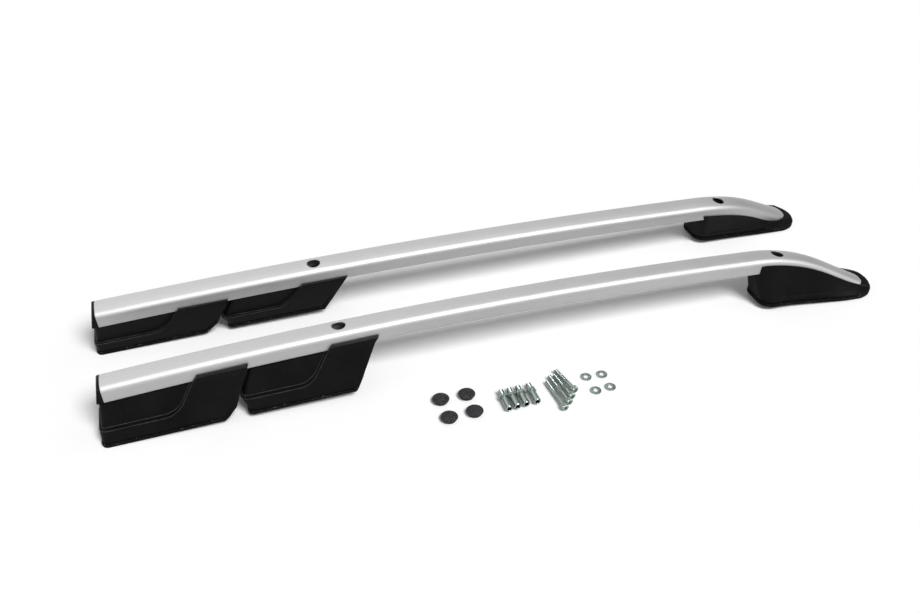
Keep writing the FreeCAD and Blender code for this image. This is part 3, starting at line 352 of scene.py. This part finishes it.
def black_moulding(name, finishes, highlight_colour):
    """Fine-textured black plastic with a trace of dust and a painted highlight along its upper
    edges.
    """
    colour = finishes.plastic_colour
    material = grained(
        name, colour, finishes.plastic_roughness, metallic=0.0, specular=0.07,
        grain_scale=1600.0, patch_scale=22.0, grain_depth=0.03 * MM, edge_radius=0.6 * MM,
        uneven=0.1)
    specks = effect(material, "dust_specks", Speck_Scale=700.0, Speck_Limit=0.76)
    dark = scaled(colour, 0.85)
    pale = scaled(colour, 1.2)
    tone = two_tones(material, patches_of(material), dark, pale)
    dusty = laid_over(material, tone, specks.outputs["Specks"], DARK_DUST)
    # A grey painted highlight along the edges that face up
    paint(material, laid_over(material, dusty, highlight_edges_of(material), highlight_colour))
    return material


def black_rubber(finishes):
    """Matt black rubber that picks up dust."""
    colour = finishes.rubber_colour
    material = grained(
        "black_rubber", colour, finishes.rubber_roughness, metallic=0.0, specular=0.05,
        grain_scale=1100.0, patch_scale=15.0, grain_depth=0.05 * MM, edge_radius=0.5 * MM,
        uneven=0.08)
    specks = effect(material, "dust_specks", Speck_Scale=520.0, Speck_Limit=0.71)
    dark = scaled(colour, 0.8)
    pale = scaled(colour, 1.25)
    tone = two_tones(material, patches_of(material), dark, pale)
    paint(material, laid_over(material, tone, specks.outputs["Specks"], PALE_DUST))
    return material


def dark_steel(finishes):
    """Oiled black oxide steel, a little uneven, with a painted highlight on its edges that face up.
    """
    colour = finishes.steel_colour
    material = grained(
        "dark_steel", colour, finishes.steel_roughness, metallic=1.0, specular=0.5,
        grain_scale=1500.0, patch_scale=120.0, grain_depth=0.02 * MM, edge_radius=0.2 * MM,
        uneven=0.15)
    dark = scaled(colour, 0.8)
    pale = scaled(colour, 1.3)
    tone = two_tones(material, patches_of(material), dark, pale)
    # A painted highlight on the edges that face up
    paint(material, laid_over(material, tone, highlight_edges_of(material), STEEL_EDGE_HIGHLIGHT))
    return material


def zinc_plate(finishes):
    """Blue-green passivated zinc with uneven tone, made once for all the loose metal pieces."""
    if "zinc_plate" in bpy.data.materials:
        return bpy.data.materials["zinc_plate"]
    colour = finishes.zinc_colour
    material = grained(
        "zinc_plate", colour, finishes.zinc_roughness, metallic=1.0, specular=0.5,
        grain_scale=1800.0, patch_scale=260.0, grain_depth=0.01 * MM, edge_radius=0.15 * MM,
        uneven=0.25)
    bluish = tinted(colour, BLUISH)
    yellowish = tinted(colour, YELLOWISH)
    paint(material, two_tones(material, patches_of(material), bluish, yellowish))
    return material


def mottled_rubber(finishes):
    """Coarse mottled charcoal rubber, as on the hole plugs."""
    colour = finishes.plug_colour
    material = grained(
        "mottled_rubber", colour, finishes.plug_roughness, metallic=0.0, specular=0.2,
        grain_scale=520.0, patch_scale=400.0, grain_depth=0.9 * MM, edge_radius=0.4 * MM,
        uneven=0.15)
    dark = scaled(colour, 0.4)
    pale = scaled(colour, 3.6)
    paint(material, two_tones(material, patches_of(material), dark, pale, spread=0.14))
    return material


def dress(node_name, material):
    """Puts a material in every slot of a node."""
    node = NODES[node_name]
    if not node.data.materials:
        node.data.materials.append(material)
    for slot in node.material_slots:
        slot.material = material


def dress_both_sides(pieces, material):
    """Dresses the right and the left one of each piece."""
    for side in SIDES:
        for piece in pieces:
            dress("%s_%s" % (side, piece), material)


# Where the loose pieces lie, read from their solids

def joined_points(start, seen):
    """The places of all the vertices that edges join to a first one, which are marked as seen."""
    seen.add(start)
    front = [start]
    points = []
    while front:
        vert = front.pop()
        points.append(vert.co.copy())
        for edge in vert.link_edges:
            other = edge.other_vert(vert)
            if other not in seen:
                seen.add(other)
                front.append(other)
    return points


def solids_of(node_name):
    """The separate solids of a node, each as a list of its points, in order along x."""
    shape = bmesh.new()
    shape.from_mesh(NODES[node_name].data)
    bmesh.ops.remove_doubles(shape, verts=shape.verts, dist=WELD)
    seen = set()
    solids = [joined_points(vert, seen) for vert in shape.verts if vert not in seen]
    shape.free()
    return sorted(solids, key=lambda points: min(point.x for point in points))


def middle_of(values):
    values = list(values)
    return (min(values) + max(values)) / 2


def level_reach(points):
    """The diagonal of the points' box, seen from above."""
    wide = [point.x for point in points]
    deep = [point.y for point in points]
    return math.hypot(max(wide) - min(wide), max(deep) - min(deep))


def standing_place(points):
    """Place of a turned piece that stands on the floor: the centre of its base."""
    x = middle_of(point.x for point in points)
    y = middle_of(point.y for point in points)
    return Matrix.Translation((x, y, min(point.z for point in points)))


def long_direction(points, mean):
    """The level direction in which the points spread furthest."""
    spread_x = sum((point.x - mean.x) ** 2 for point in points)
    spread_y = sum((point.y - mean.y) ** 2 for point in points)
    shared = sum((point.x - mean.x) * (point.y - mean.y) for point in points)
    angle = math.atan2(2 * shared, spread_x - spread_y) / 2
    return Vector((math.cos(angle), math.sin(angle), 0))


def lying_place(points, thick_end_last):
    """Place of a turned piece that lies on the floor: its base, with z along it and y up."""
    mean = sum(points, Vector()) / len(points)
    along = long_direction(points, mean)
    across = along.cross(ALONG_Z)
    steps = [(point - mean).dot(along) for point in points]
    offsets = [(point - mean).dot(across) for point in points]
    first = min(steps)
    last = max(steps)
    end = (last - first) * END_SHARE
    first_width = max(abs(offset) for offset, step in zip(offsets, steps) if step < first + end)
    last_width = max(abs(offset) for offset, step in zip(offsets, steps) if step > last - end)
    if (last_width > first_width) == thick_end_last:
        base = mean + along * first
    else:
        base = mean + along * last
        along = -along
    base += across * middle_of(offsets)
    base.z = middle_of(point.z for point in points)
    turn = Matrix((ALONG_Z.cross(along), ALONG_Z, along)).transposed()
    return Matrix.Translation(base) @ turn.to_4x4()


# Turned, threaded and socketed shapes

def turned(profile, facets):
    """A closed surface turned about z from a profile of (radius, height) points."""
    shape = bmesh.new()
    verts = [shape.verts.new((radius, 0, height)) for radius, height in profile]
    for pair in zip(verts, verts[1:]):
        shape.edges.new(pair)
    bmesh.ops.spin(shape, geom=shape.verts[:] + shape.edges[:], cent=(0, 0, 0), axis=ALONG_Z,
                   dvec=(0, 0, 0), angle=math.tau, steps=facets, use_merge=True)
    bmesh.ops.remove_doubles(shape, verts=shape.verts, dist=FINE_WELD)
    bmesh.ops.recalc_face_normals(shape, faces=shape.faces)
    return shape


def threaded(radius, depth, pitch, bottom, top):
    """A closed screw thread between two heights: a zigzag carried round and up by one pitch."""
    shape = bmesh.new()
    turns = math.ceil((top - bottom) / pitch) + 2
    zigzag = []
    for turn in range(turns + 1):
        height = bottom + (turn - 1) * pitch
        zigzag.append(shape.verts.new((radius - depth, 0, height)))
        zigzag.append(shape.verts.new((radius, 0, height + pitch / 2)))
    for pair in zip(zigzag, zigzag[1:]):
        shape.edges.new(pair)
    rise = (0, 0, pitch / SCREW_FACETS)
    bmesh.ops.spin(shape, geom=shape.verts[:] + shape.edges[:], cent=(0, 0, 0), axis=ALONG_Z,
                   dvec=rise, angle=math.tau, steps=SCREW_FACETS, use_merge=False)
    bmesh.ops.remove_doubles(shape, verts=shape.verts, dist=WELD)
    for height, low_side in ((bottom, True), (top, False)):
        geometry = shape.verts[:] + shape.edges[:] + shape.faces[:]
        bmesh.ops.bisect_plane(shape, geom=geometry, dist=FINE_WELD, plane_co=(0, 0, height),
                               plane_no=ALONG_Z, clear_inner=low_side, clear_outer=not low_side)
    rims = [edge for edge in shape.edges if edge.is_boundary]
    bmesh.ops.holes_fill(shape, edges=rims, sides=0)
    bmesh.ops.recalc_face_normals(shape, faces=shape.faces)
    return shape


def raised(shape, edges, height, share=1.0):
    """Extrudes a ring of edges by a height, scales it about z and gives back the new edges."""
    made = bmesh.ops.extrude_edge_only(shape, edges=edges)["geom"]
    verts = [item for item in made if isinstance(item, bmesh.types.BMVert)]
    bmesh.ops.translate(shape, verts=verts, vec=(0, 0, height))
    bmesh.ops.scale(shape, verts=verts, vec=(share, share, 1))
    return [item for item in made if isinstance(item, bmesh.types.BMEdge)]


def hexagon_reach(angle, across_flats):
    """Distance from a hexagon's middle to its edge at an angle."""
    sixth = math.tau / 6
    return across_flats / 2 / math.cos(angle % sixth - sixth / 2)


def socket_head(screw, bottom):
    """A knurled screw head with a hexagonal socket, its underside at a height."""
    shape = bmesh.new()
    radius = screw.head_diameter / 2
    rim_share = (radius - screw.head_bevel) / radius
    wall = screw.head_height - screw.head_bevel
    bmesh.ops.create_circle(shape, segments=2 * screw.knurls, radius=radius)
    base = shape.edges[:]
    bmesh.ops.contextual_create(shape, geom=base)
    for vert in list(shape.verts)[::2]:
        vert.co.xy *= 1 - screw.knurl_depth / radius
    bmesh.ops.translate(shape, verts=shape.verts, vec=(0, 0, bottom))
    side = raised(shape, base, wall)
    top = raised(shape, side, screw.head_bevel, rim_share)
    mouth = raised(shape, top, 0.0)
    for vert in {vert for edge in mouth for vert in edge.verts}:
        angle = math.atan2(vert.co.y, vert.co.x)
        vert.co.xy = Vector(vert.co.xy).normalized() * hexagon_reach(angle, screw.socket_flats)
    floor = raised(shape, mouth, -screw.socket_depth)
    bmesh.ops.contextual_create(shape, geom=floor)
    bmesh.ops.recalc_face_normals(shape, faces=shape.faces)
    return shape


def hexagonal_collar(across_flats, bottom, top, bevel):
    """A hexagonal prism between two heights with its edges eased."""
    shape = bmesh.new()
    corner_radius = across_flats / math.sqrt(3)
    bmesh.ops.create_circle(shape, segments=6, radius=corner_radius, cap_ends=True)
    half_a_side = Matrix.Rotation(math.tau / 12, 3, "Z")
    bmesh.ops.rotate(shape, verts=shape.verts, cent=(0, 0, 0), matrix=half_a_side)
    bmesh.ops.translate(shape, verts=shape.verts, vec=(0, 0, bottom))
    top_face = bmesh.ops.extrude_face_region(shape, geom=shape.faces[:])["geom"]
    verts = [item for item in top_face if isinstance(item, bmesh.types.BMVert)]
    bmesh.ops.translate(shape, verts=verts, vec=(0, 0, top - bottom))
    bmesh.ops.bevel(shape, geom=shape.edges[:], offset=bevel, affect="EDGES", segments=2,
                    profile=0.5, material=-1)
    bmesh.ops.recalc_face_normals(shape, faces=shape.faces)
    return shape


def add_piece(name, copies, material, replaced):
    """Makes one piece from (shape, place) copies, which takes the place of a node of the frame."""
    whole = bmesh.new()
    for shape, place in copies:
        part = bpy.data.meshes.new(name)
        shape.to_mesh(part)
        part.transform(place)
        whole.from_mesh(part)
        bpy.data.meshes.remove(part)
    mesh = bpy.data.meshes.new(name)
    whole.to_mesh(mesh)
    whole.free()
    for polygon in mesh.polygons:
        polygon.use_smooth = True
    mesh.set_sharp_from_angle(angle=SHARP_ANGLE)
    mesh.materials.append(material)
    piece = bpy.data.objects.new(name, mesh)
    bpy.context.collection.objects.link(piece)
    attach(piece, "root")
    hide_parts(replaced)


# The settings a user would change

def colour_setting(name, default):
    return bpy.props.FloatVectorProperty(
        name=name + " colour", description="Base colour of the " + name.lower(), size=3,
        subtype="COLOR", min=0.0, max=1.0, default=default)


def roughness_setting(name, default):
    return bpy.props.FloatProperty(
        name=name + " roughness", description="How matt the " + name.lower() + " is",
        subtype="FACTOR", min=0.0, max=1.0, default=default)


def length_setting(name, description, default_mm):
    """A length property, in metres, from its default in millimetres."""
    return bpy.props.FloatProperty(name=name, description=description, unit="LENGTH",
                                   min=0.0, default=default_mm * MM)


class FinishSettings(bpy.types.PropertyGroup):
    aluminium_colour: colour_setting("Aluminium", (0.5, 0.5, 0.505))
    aluminium_roughness: roughness_setting("Aluminium", 0.6)
    plastic_colour: colour_setting("Plastic", (0.0045, 0.0045, 0.005))
    plastic_roughness: roughness_setting("Plastic", 0.42)
    rubber_colour: colour_setting("Rubber", (0.004, 0.004, 0.004))
    rubber_roughness: roughness_setting("Rubber", 0.6)
    steel_colour: colour_setting("Steel", (0.02, 0.02, 0.021))
    steel_roughness: roughness_setting("Steel", 0.5)
    zinc_colour: colour_setting("Zinc", (0.31, 0.35, 0.335))
    zinc_roughness: roughness_setting("Zinc", 0.25)
    plug_colour: colour_setting("Plug rubber", (0.012, 0.012, 0.013))
    plug_roughness: roughness_setting("Plug rubber", 0.6)


class ScrewSettings(bpy.types.PropertyGroup):
    diameter: length_setting("Thread", "Outside diameter of the thread", 6.0)
    pitch: length_setting("Pitch", "Rise of the thread in one turn", 1.0)
    thread_depth: length_setting("Thread depth", "Depth of the thread's groove", 0.55)
    thread_length: length_setting("Threaded length", "Length of the thread from the tip", 24.0)
    long_length: length_setting("Long screw", "Length of a long screw under its head", 54.0)
    short_length: length_setting("Short screw", "Length of a short screw under its head", 44.0)
    head_diameter: length_setting("Head", "Diameter of the head", 10.0)
    head_height: length_setting("Head height", "Height of the head", 6.0)
    head_bevel: length_setting("Head bevel", "Bevel of the head's rim", 0.6)
    knurl_depth: length_setting("Knurl depth", "Depth of the grooves round the head", 0.25)
    knurls: bpy.props.IntProperty(
        name="Knurls", description="Number of grooves round the head", min=6, default=36)
    socket_flats: length_setting("Socket", "Width of the socket across its flats", 5.0)
    socket_depth: length_setting("Socket depth", "Depth of the socket", 3.2)


class StandoffSettings(bpy.types.PropertyGroup):
    body_diameter: length_setting("Body", "Diameter of the round body", 10.0)
    body_length: length_setting("Body length", "Length of the round body", 21.6)
    body_bevel: length_setting("Body bevel", "Bevel at the open end", 0.8)
    bore_diameter: length_setting("Bore", "Diameter of the tapped bore", 6.2)
    bore_depth: length_setting("Bore depth", "Depth of the tapped bore", 18.0)
    collar_flats: length_setting("Collar", "Width of the collar across its flats", 12.0)
    collar_length: length_setting("Collar length", "Length of the collar", 5.0)
    collar_bevel: length_setting("Collar bevel", "Bevel of the collar's edges", 0.35)
    stud_diameter: length_setting("Stud", "Outside diameter of the stud's thread", 8.0)
    stud_length: length_setting("Stud length", "Length of the stud", 12.0)
    stud_pitch: length_setting("Stud pitch", "Rise of the stud's thread in one turn", 1.25)
    stud_depth: length_setting("Stud thread depth", "Depth of the stud's thread", 0.65)


class WasherSettings(bpy.types.PropertyGroup):
    diameter: length_setting("Washer", "Outside diameter", 16.0)
    hole: length_setting("Hole", "Diameter of the hole", 7.0)
    thickness: length_setting("Thickness", "Thickness of the washer", 1.6)
    edge: length_setting("Edge", "Rounding of the stamped edge", 0.35)


class PlugSettings(bpy.types.PropertyGroup):
    diameter: length_setting("Plug", "Diameter of the rim", 24.3)
    skirt_diameter: length_setting("Skirt", "Outside diameter of the skirt", 19.4)
    skirt_depth: length_setting("Skirt depth", "Depth of the skirt under the rim", 4.0)
    wall: length_setting("Wall", "Wall of the skirt", 1.4)
    rim: length_setting("Rim", "Thickness of the rim", 1.4)
    dome: length_setting("Dome", "Rise of the top in its middle", 1.8)


class CameraSettings(bpy.types.PropertyGroup):
    place: bpy.props.FloatVectorProperty(
        name="Camera place", description="Where the camera stands", size=3,
        subtype="TRANSLATION", unit="LENGTH", default=(-0.41353, -1.07295, 0.8987))
    pitch: bpy.props.FloatProperty(
        name="Camera pitch", description="Tilt of the camera up from straight down",
        subtype="ANGLE", default=math.radians(53.24))
    heading: bpy.props.FloatProperty(
        name="Camera heading", description="Turn of the camera away from straight ahead",
        subtype="ANGLE", default=math.radians(-17.45))
    lens: bpy.props.FloatProperty(
        name="Lens", description="Focal length on a 36 mm wide sensor", unit="CAMERA",
        min=10.0, max=200.0, default=37.23)


SETTINGS = {
    "roof_rails_finishes": FinishSettings,
    "roof_rails_screws": ScrewSettings,
    "roof_rails_standoffs": StandoffSettings,
    "roof_rails_washers": WasherSettings,
    "roof_rails_plugs": PlugSettings,
    "roof_rails_camera": CameraSettings,
}


# One operator for each group of like pieces

class RoofRailOperator:
    """Shared by every operator of this add-on."""

    bl_options = {"REGISTER", "UNDO"}


class ROOFRAIL_OT_rails(RoofRailOperator, bpy.types.Operator):
    """Gives the extruded rails their satin anodised finish"""

    bl_idname = "roofrail.rails"
    bl_label = "Aluminium rails"

    def execute(self, context):
        dress_both_sides(["rail"], satin_anodised(context.scene.roof_rails_finishes))
        return {"FINISHED"}


class ROOFRAIL_OT_feet(RoofRailOperator, bpy.types.Operator):
    """Gives the feet and the end caps their black moulded finish"""

    bl_idname = "roofrail.feet"
    bl_label = "Moulded feet and caps"

    def execute(self, context):
        finishes = context.scene.roof_rails_finishes
        # Two copies of one plastic: a bright painted highlight on the upper edges, and a faint one
        # on the front shells
        crisp = black_moulding("black_moulding_bright_highlight", finishes, BRIGHT_EDGE_HIGHLIGHT)
        soft = black_moulding("black_moulding_faint_highlight", finishes, FAINT_EDGE_HIGHLIGHT)
        dress_both_sides(["rear_end_cap", "rear_foot", "middle_foot"], crisp)
        dress_both_sides(["front_foot"], soft)
        return {"FINISHED"}


class ROOFRAIL_OT_pads(RoofRailOperator, bpy.types.Operator):
    """Gives the pads under the feet their rubber finish"""

    bl_idname = "roofrail.pads"
    bl_label = "Rubber pads"

    def execute(self, context):
        rubber = black_rubber(context.scene.roof_rails_finishes)
        dress_both_sides(["rear_pad", "middle_pad", "front_pad"], rubber)
        return {"FINISHED"}


class ROOFRAIL_OT_clamps(RoofRailOperator, bpy.types.Operator):
    """Gives the clamp plates, clamp screws and bushes their dark steel finish"""

    bl_idname = "roofrail.clamps"
    bl_label = "Clamps and bushes"

    def execute(self, context):
        steel = dark_steel(context.scene.roof_rails_finishes)
        dress_both_sides(["clamp_plates", "clamp_screws", "mounting_bushes"], steel)
        return {"FINISHED"}


class ROOFRAIL_OT_screws(RoofRailOperator, bpy.types.Operator):
    """Makes the four cap screws with their threads, knurled heads and sockets"""

    bl_idname = "roofrail.screws"
    bl_label = "Cap screws"

    def execute(self, context):
        screw = context.scene.roof_rails_screws
        zinc = zinc_plate(context.scene.roof_rails_finishes)
        solids = sorted(solids_of("cap_screws"), key=level_reach)
        short = self.screw_shapes(screw, screw.short_length)
        long = self.screw_shapes(screw, screw.long_length)
        copies = []
        for shapes, group in ((short, solids[:SHORT_SCREWS]), (long, solids[SHORT_SCREWS:])):
            for points in group:
                place = lying_place(points, thick_end_last=True)
                copies += [(shape, place) for shape in shapes]
        add_piece("cap_screws_detail", copies, zinc, "cap_screws")
        return {"FINISHED"}

    def screw_shapes(self, screw, under_head):
        radius = screw.diameter / 2
        root = radius - screw.thread_depth
        tip = screw.pitch / 2
        thread_end = screw.thread_length
        shank = turned([
            (0, 0),
            (root - tip / 2, 0),
            (root, tip),
            (root, thread_end - tip),
            (radius, thread_end + tip),
            (radius, under_head),
            (0, under_head),
        ], SCREW_FACETS)
        thread = threaded(radius, screw.thread_depth, screw.pitch, tip, thread_end)
        return shank, thread, socket_head(screw, under_head)


class ROOFRAIL_OT_standoffs(RoofRailOperator, bpy.types.Operator):
    """Makes the four threaded stand-offs with their bores, collars and studs"""

    bl_idname = "roofrail.standoffs"
    bl_label = "Threaded stand-offs"

    def execute(self, context):
        shapes = self.standoff_shapes(context.scene.roof_rails_standoffs)
        zinc = zinc_plate(context.scene.roof_rails_finishes)
        copies = []
        for points in solids_of("threaded_standoffs"):
            place = lying_place(points, thick_end_last=False)
            copies += [(shape, place) for shape in shapes]
        add_piece("standoffs_detail", copies, zinc, "threaded_standoffs")
        return {"FINISHED"}

    def standoff_shapes(self, standoff):
        body = standoff.body_diameter / 2
        bore = standoff.bore_diameter / 2
        bevel = standoff.body_bevel
        body_top = standoff.body_length
        collar_top = body_top + standoff.collar_length
        stud = standoff.stud_diameter / 2
        root = stud - standoff.stud_depth
        end = collar_top + standoff.stud_length
        hollow_body = turned([
            (0, standoff.bore_depth),
            (bore, standoff.bore_depth - bore / 2),
            (bore, bevel / 2),
            (bore + bevel / 2, 0),
            (body - bevel, 0),
            (body, bevel),
            (body, body_top - bevel),
            (body - bevel / 2, body_top - bevel / 2),
            (body - bevel / 2, body_top),
            (0, body_top),
        ], STANDOFF_FACETS)
        collar = hexagonal_collar(standoff.collar_flats, body_top, collar_top,
                                  standoff.collar_bevel)
        core = turned([(0, collar_top), (root, collar_top), (root, end), (0, end)], SCREW_FACETS)
        thread = threaded(stud, standoff.stud_depth, standoff.stud_pitch, collar_top,
                          end - standoff.stud_pitch / 2)
        return hollow_body, collar, core, thread


class ROOFRAIL_OT_washers(RoofRailOperator, bpy.types.Operator):
    """Makes the four flat washers with the rounded edges of a stamping"""

    bl_idname = "roofrail.washers"
    bl_label = "Flat washers"

    def execute(self, context):
        zinc = zinc_plate(context.scene.roof_rails_finishes)
        shape = turned(self.profile(context.scene.roof_rails_washers), WASHER_FACETS)
        copies = [(shape, standing_place(points)) for points in solids_of("flat_washers")]
        add_piece("washers_detail", copies, zinc, "flat_washers")
        return {"FINISHED"}

    def profile(self, washer):
        """Round the washer's section and back to where it starts, with the larger rounds on top."""
        outer = washer.diameter / 2
        inner = washer.hole / 2
        top = washer.thickness
        edge = washer.edge
        inset = edge * CORNER_INSET
        return [
            (inner, 0),
            (outer - edge / 2, 0),
            (outer, edge / 2),
            (outer, top - edge),
            (outer - inset, top - inset),
            (outer - edge, top),
            (inner + edge / 2, top),
            (inner, top - edge / 2),
            (inner, 0),
        ]


class ROOFRAIL_OT_plugs(RoofRailOperator, bpy.types.Operator):
    """Makes the four hole plugs with rounded rims and domed, mottled tops"""

    bl_idname = "roofrail.plugs"
    bl_label = "Hole plugs"

    def execute(self, context):
        rubber = mottled_rubber(context.scene.roof_rails_finishes)
        shape = turned(self.profile(context.scene.roof_rails_plugs), PLUG_FACETS)
        copies = [(shape, standing_place(points)) for points in solids_of("hole_plugs")]
        add_piece("plugs_detail", copies, rubber, "hole_plugs")
        return {"FINISHED"}

    def profile(self, plug):
        """From the middle of the underside, round the skirt and the rim, to the domed middle."""
        skirt = plug.skirt_diameter / 2
        bore = skirt - plug.wall
        under = plug.skirt_depth
        round_radius = plug.rim / 2
        round_middle = plug.diameter / 2 - round_radius
        points = [
            (0, under),
            (bore, under),
            (bore, 0),
            (skirt, 0),
            (skirt, under),
            (round_middle, under),
        ]
        for facet in range(1, RIM_FACETS):
            turn = math.pi * (facet / RIM_FACETS - 0.5)
            points.append((round_middle + round_radius * math.cos(turn),
                           under + round_radius * (1 + math.sin(turn))))
        shoulder = round_middle - round_radius
        for facet in range(CROWN_FACETS + 1):
            outward = 1 - facet / CROWN_FACETS
            points.append((shoulder * outward,
                           under + plug.rim + plug.dome * (1 - outward ** 2)))
        return points


# The stage

WHITE = (1, 1, 1, 1)

# The floor reaches this far from its middle, and glows a little for the camera and mirrors
FLOOR_REACH = 8.0
FLOOR_COLOUR = (0.93, 0.93, 0.93, 1)
FLOOR_GLOW = 0.05

# Each lamp is a direction towards it, the angle that it spans and its strength
KEY_LIGHT = {"direction": (0.28, -0.55, 0.79), "span": math.radians(28.0), "strength": 3.1}
OVERHEAD_LIGHT = {"direction": (0.1, -0.25, 1.0), "span": math.radians(36.0), "strength": 1.0}

# The studio's walls, as metal shows them, get dimmer towards one side
DIM_SIDE = (0.8, -0.45, 0.0)
BRIGHT_UNTIL = -0.44
DIM_FROM = 0.4
BRIGHT_WALLS = 1.38
DIM_WALLS = 0.1

# Matt surfaces get an even light from the world, and the camera sees it as white
EVEN_LIGHT = 0.25
BACKGROUND = 1.0

# In millimetres and in metres, as the camera takes them
SENSOR_WIDTH = 36.0
CLIP_END = 50.0


class ROOFRAIL_OT_stage(RoofRailOperator, bpy.types.Operator):
    """Lays the pale floor, lights the scene and places the camera"""

    bl_idname = "roofrail.stage"
    bl_label = "Floor, light and camera"

    def execute(self, context):
        self.lay_floor()
        self.light_world(context.scene)
        self.hang_lamp("key_light", **KEY_LIGHT)
        overhead = self.hang_lamp("overhead_light", **OVERHEAD_LIGHT)
        # It gives the metal a sheen and leaves matt surfaces as they are
        overhead.visible_diffuse = False
        self.place_camera(context.scene)
        context.scene.view_settings.view_transform = "Standard"
        return {"FINISHED"}

    def seen_rays(self, tree):
        """1 for rays that show the background: those of the camera, metal and glass."""
        rays = tree.nodes.new("ShaderNodeLightPath")
        mirrored = math_node(tree, "MAXIMUM", rays.outputs["Is Glossy Ray"],
                             rays.outputs["Is Transmission Ray"])
        return math_node(tree, "MAXIMUM", rays.outputs["Is Camera Ray"], mirrored)

    def lay_floor(self):
        mesh = bpy.data.meshes.new("floor")
        shape = bmesh.new()
        bmesh.ops.create_grid(shape, x_segments=1, y_segments=1, size=FLOOR_REACH)
        shape.to_mesh(mesh)
        shape.free()
        floor = bpy.data.objects.new("floor", mesh)
        bpy.context.collection.objects.link(floor)
        material = bpy.data.materials.new("pale_floor")
        material.use_nodes = True
        tree = material.node_tree
        shader = tree.nodes["Principled BSDF"]
        shader.inputs["Base Color"].default_value = FLOOR_COLOUR
        shader.inputs["Roughness"].default_value = 1.0
        shader.inputs["Specular IOR Level"].default_value = 0.0
        shader.inputs["Emission Color"].default_value = WHITE
        glow = remap_node(tree, self.seen_rays(tree), 0.0, 1.0, 0.0, FLOOR_GLOW)
        tree.links.new(glow, shader.inputs["Emission Strength"])
        mesh.materials.append(material)

    def light_world(self, scene):
        """A world that is white to the camera, a studio to metal and an even light to the rest."""
        world = bpy.data.worlds.new("studio")
        world.use_nodes = True
        scene.world = world
        tree = world.node_tree
        background = tree.nodes["Background"]
        background.inputs["Color"].default_value = WHITE
        direction = tree.nodes.new("ShaderNodeTexCoord").outputs["Generated"]
        to_dim_side = dot_node(tree, direction, DIM_SIDE)
        walls = remap_node(tree, to_dim_side, BRIGHT_UNTIL, DIM_FROM, BRIGHT_WALLS, DIM_WALLS)
        lit = remap_node(tree, self.seen_rays(tree), 0.0, 1.0, EVEN_LIGHT, walls)
        camera_rays = tree.nodes.new("ShaderNodeLightPath").outputs["Is Camera Ray"]
        strength = remap_node(tree, camera_rays, 0.0, 1.0, lit, BACKGROUND)
        tree.links.new(strength, background.inputs["Strength"])

    def hang_lamp(self, name, direction, span, strength):
        """A soft lamp far off in a direction."""
        light = bpy.data.lights.new(name, "SUN")
        light.angle = span
        light.energy = strength
        lamp = bpy.data.objects.new(name, light)
        lamp.rotation_euler = (-Vector(direction)).to_track_quat("-Z", "Y").to_euler()
        bpy.context.collection.objects.link(lamp)
        return lamp

    def place_camera(self, scene):
        settings = scene.roof_rails_camera
        data = bpy.data.cameras.new("camera")
        data.sensor_width = SENSOR_WIDTH
        data.lens = settings.lens
        data.clip_end = CLIP_END
        camera = bpy.data.objects.new("camera", data)
        camera.location = settings.place
        camera.rotation_euler = (settings.pitch, 0.0, settings.heading)
        bpy.context.collection.objects.link(camera)
        scene.camera = camera


# The add-on

class ROOFRAIL_PT_sidebar(bpy.types.Panel):
    bl_label = "Roof side rails"
    bl_idname = "ROOFRAIL_PT_sidebar"
    bl_space_type = "VIEW_3D"
    bl_region_type = "UI"
    bl_category = "Roof Rails"

    def draw(self, context):
        for name, group in SETTINGS.items():
            column = self.layout.box().column()
            for setting in group.__annotations__:
                column.prop(getattr(context.scene, name), setting)
        for operator in OPERATORS:
            self.layout.operator(operator.bl_idname)


OPERATORS = (
    ROOFRAIL_OT_rails,
    ROOFRAIL_OT_feet,
    ROOFRAIL_OT_pads,
    ROOFRAIL_OT_clamps,
    ROOFRAIL_OT_screws,
    ROOFRAIL_OT_standoffs,
    ROOFRAIL_OT_washers,
    ROOFRAIL_OT_plugs,
    ROOFRAIL_OT_stage,
)
CLASSES = (*SETTINGS.values(), *OPERATORS, ROOFRAIL_PT_sidebar)


def register():
    for cls in CLASSES:
        bpy.utils.register_class(cls)
    for name, group in SETTINGS.items():
        setattr(bpy.types.Scene, name, bpy.props.PointerProperty(type=group))


def unregister():
    for name in SETTINGS:
        delattr(bpy.types.Scene, name)
    for cls in reversed(CLASSES):
        bpy.utils.unregister_class(cls)


def main():
    register()
    bpy.ops.roofrail.rails()
    bpy.ops.roofrail.feet()
    bpy.ops.roofrail.pads()
    bpy.ops.roofrail.clamps()
    bpy.ops.roofrail.screws()
    bpy.ops.roofrail.standoffs()
    bpy.ops.roofrail.washers()
    bpy.ops.roofrail.plugs()
    bpy.ops.roofrail.stage()


if __name__ == "__main__":
    main()
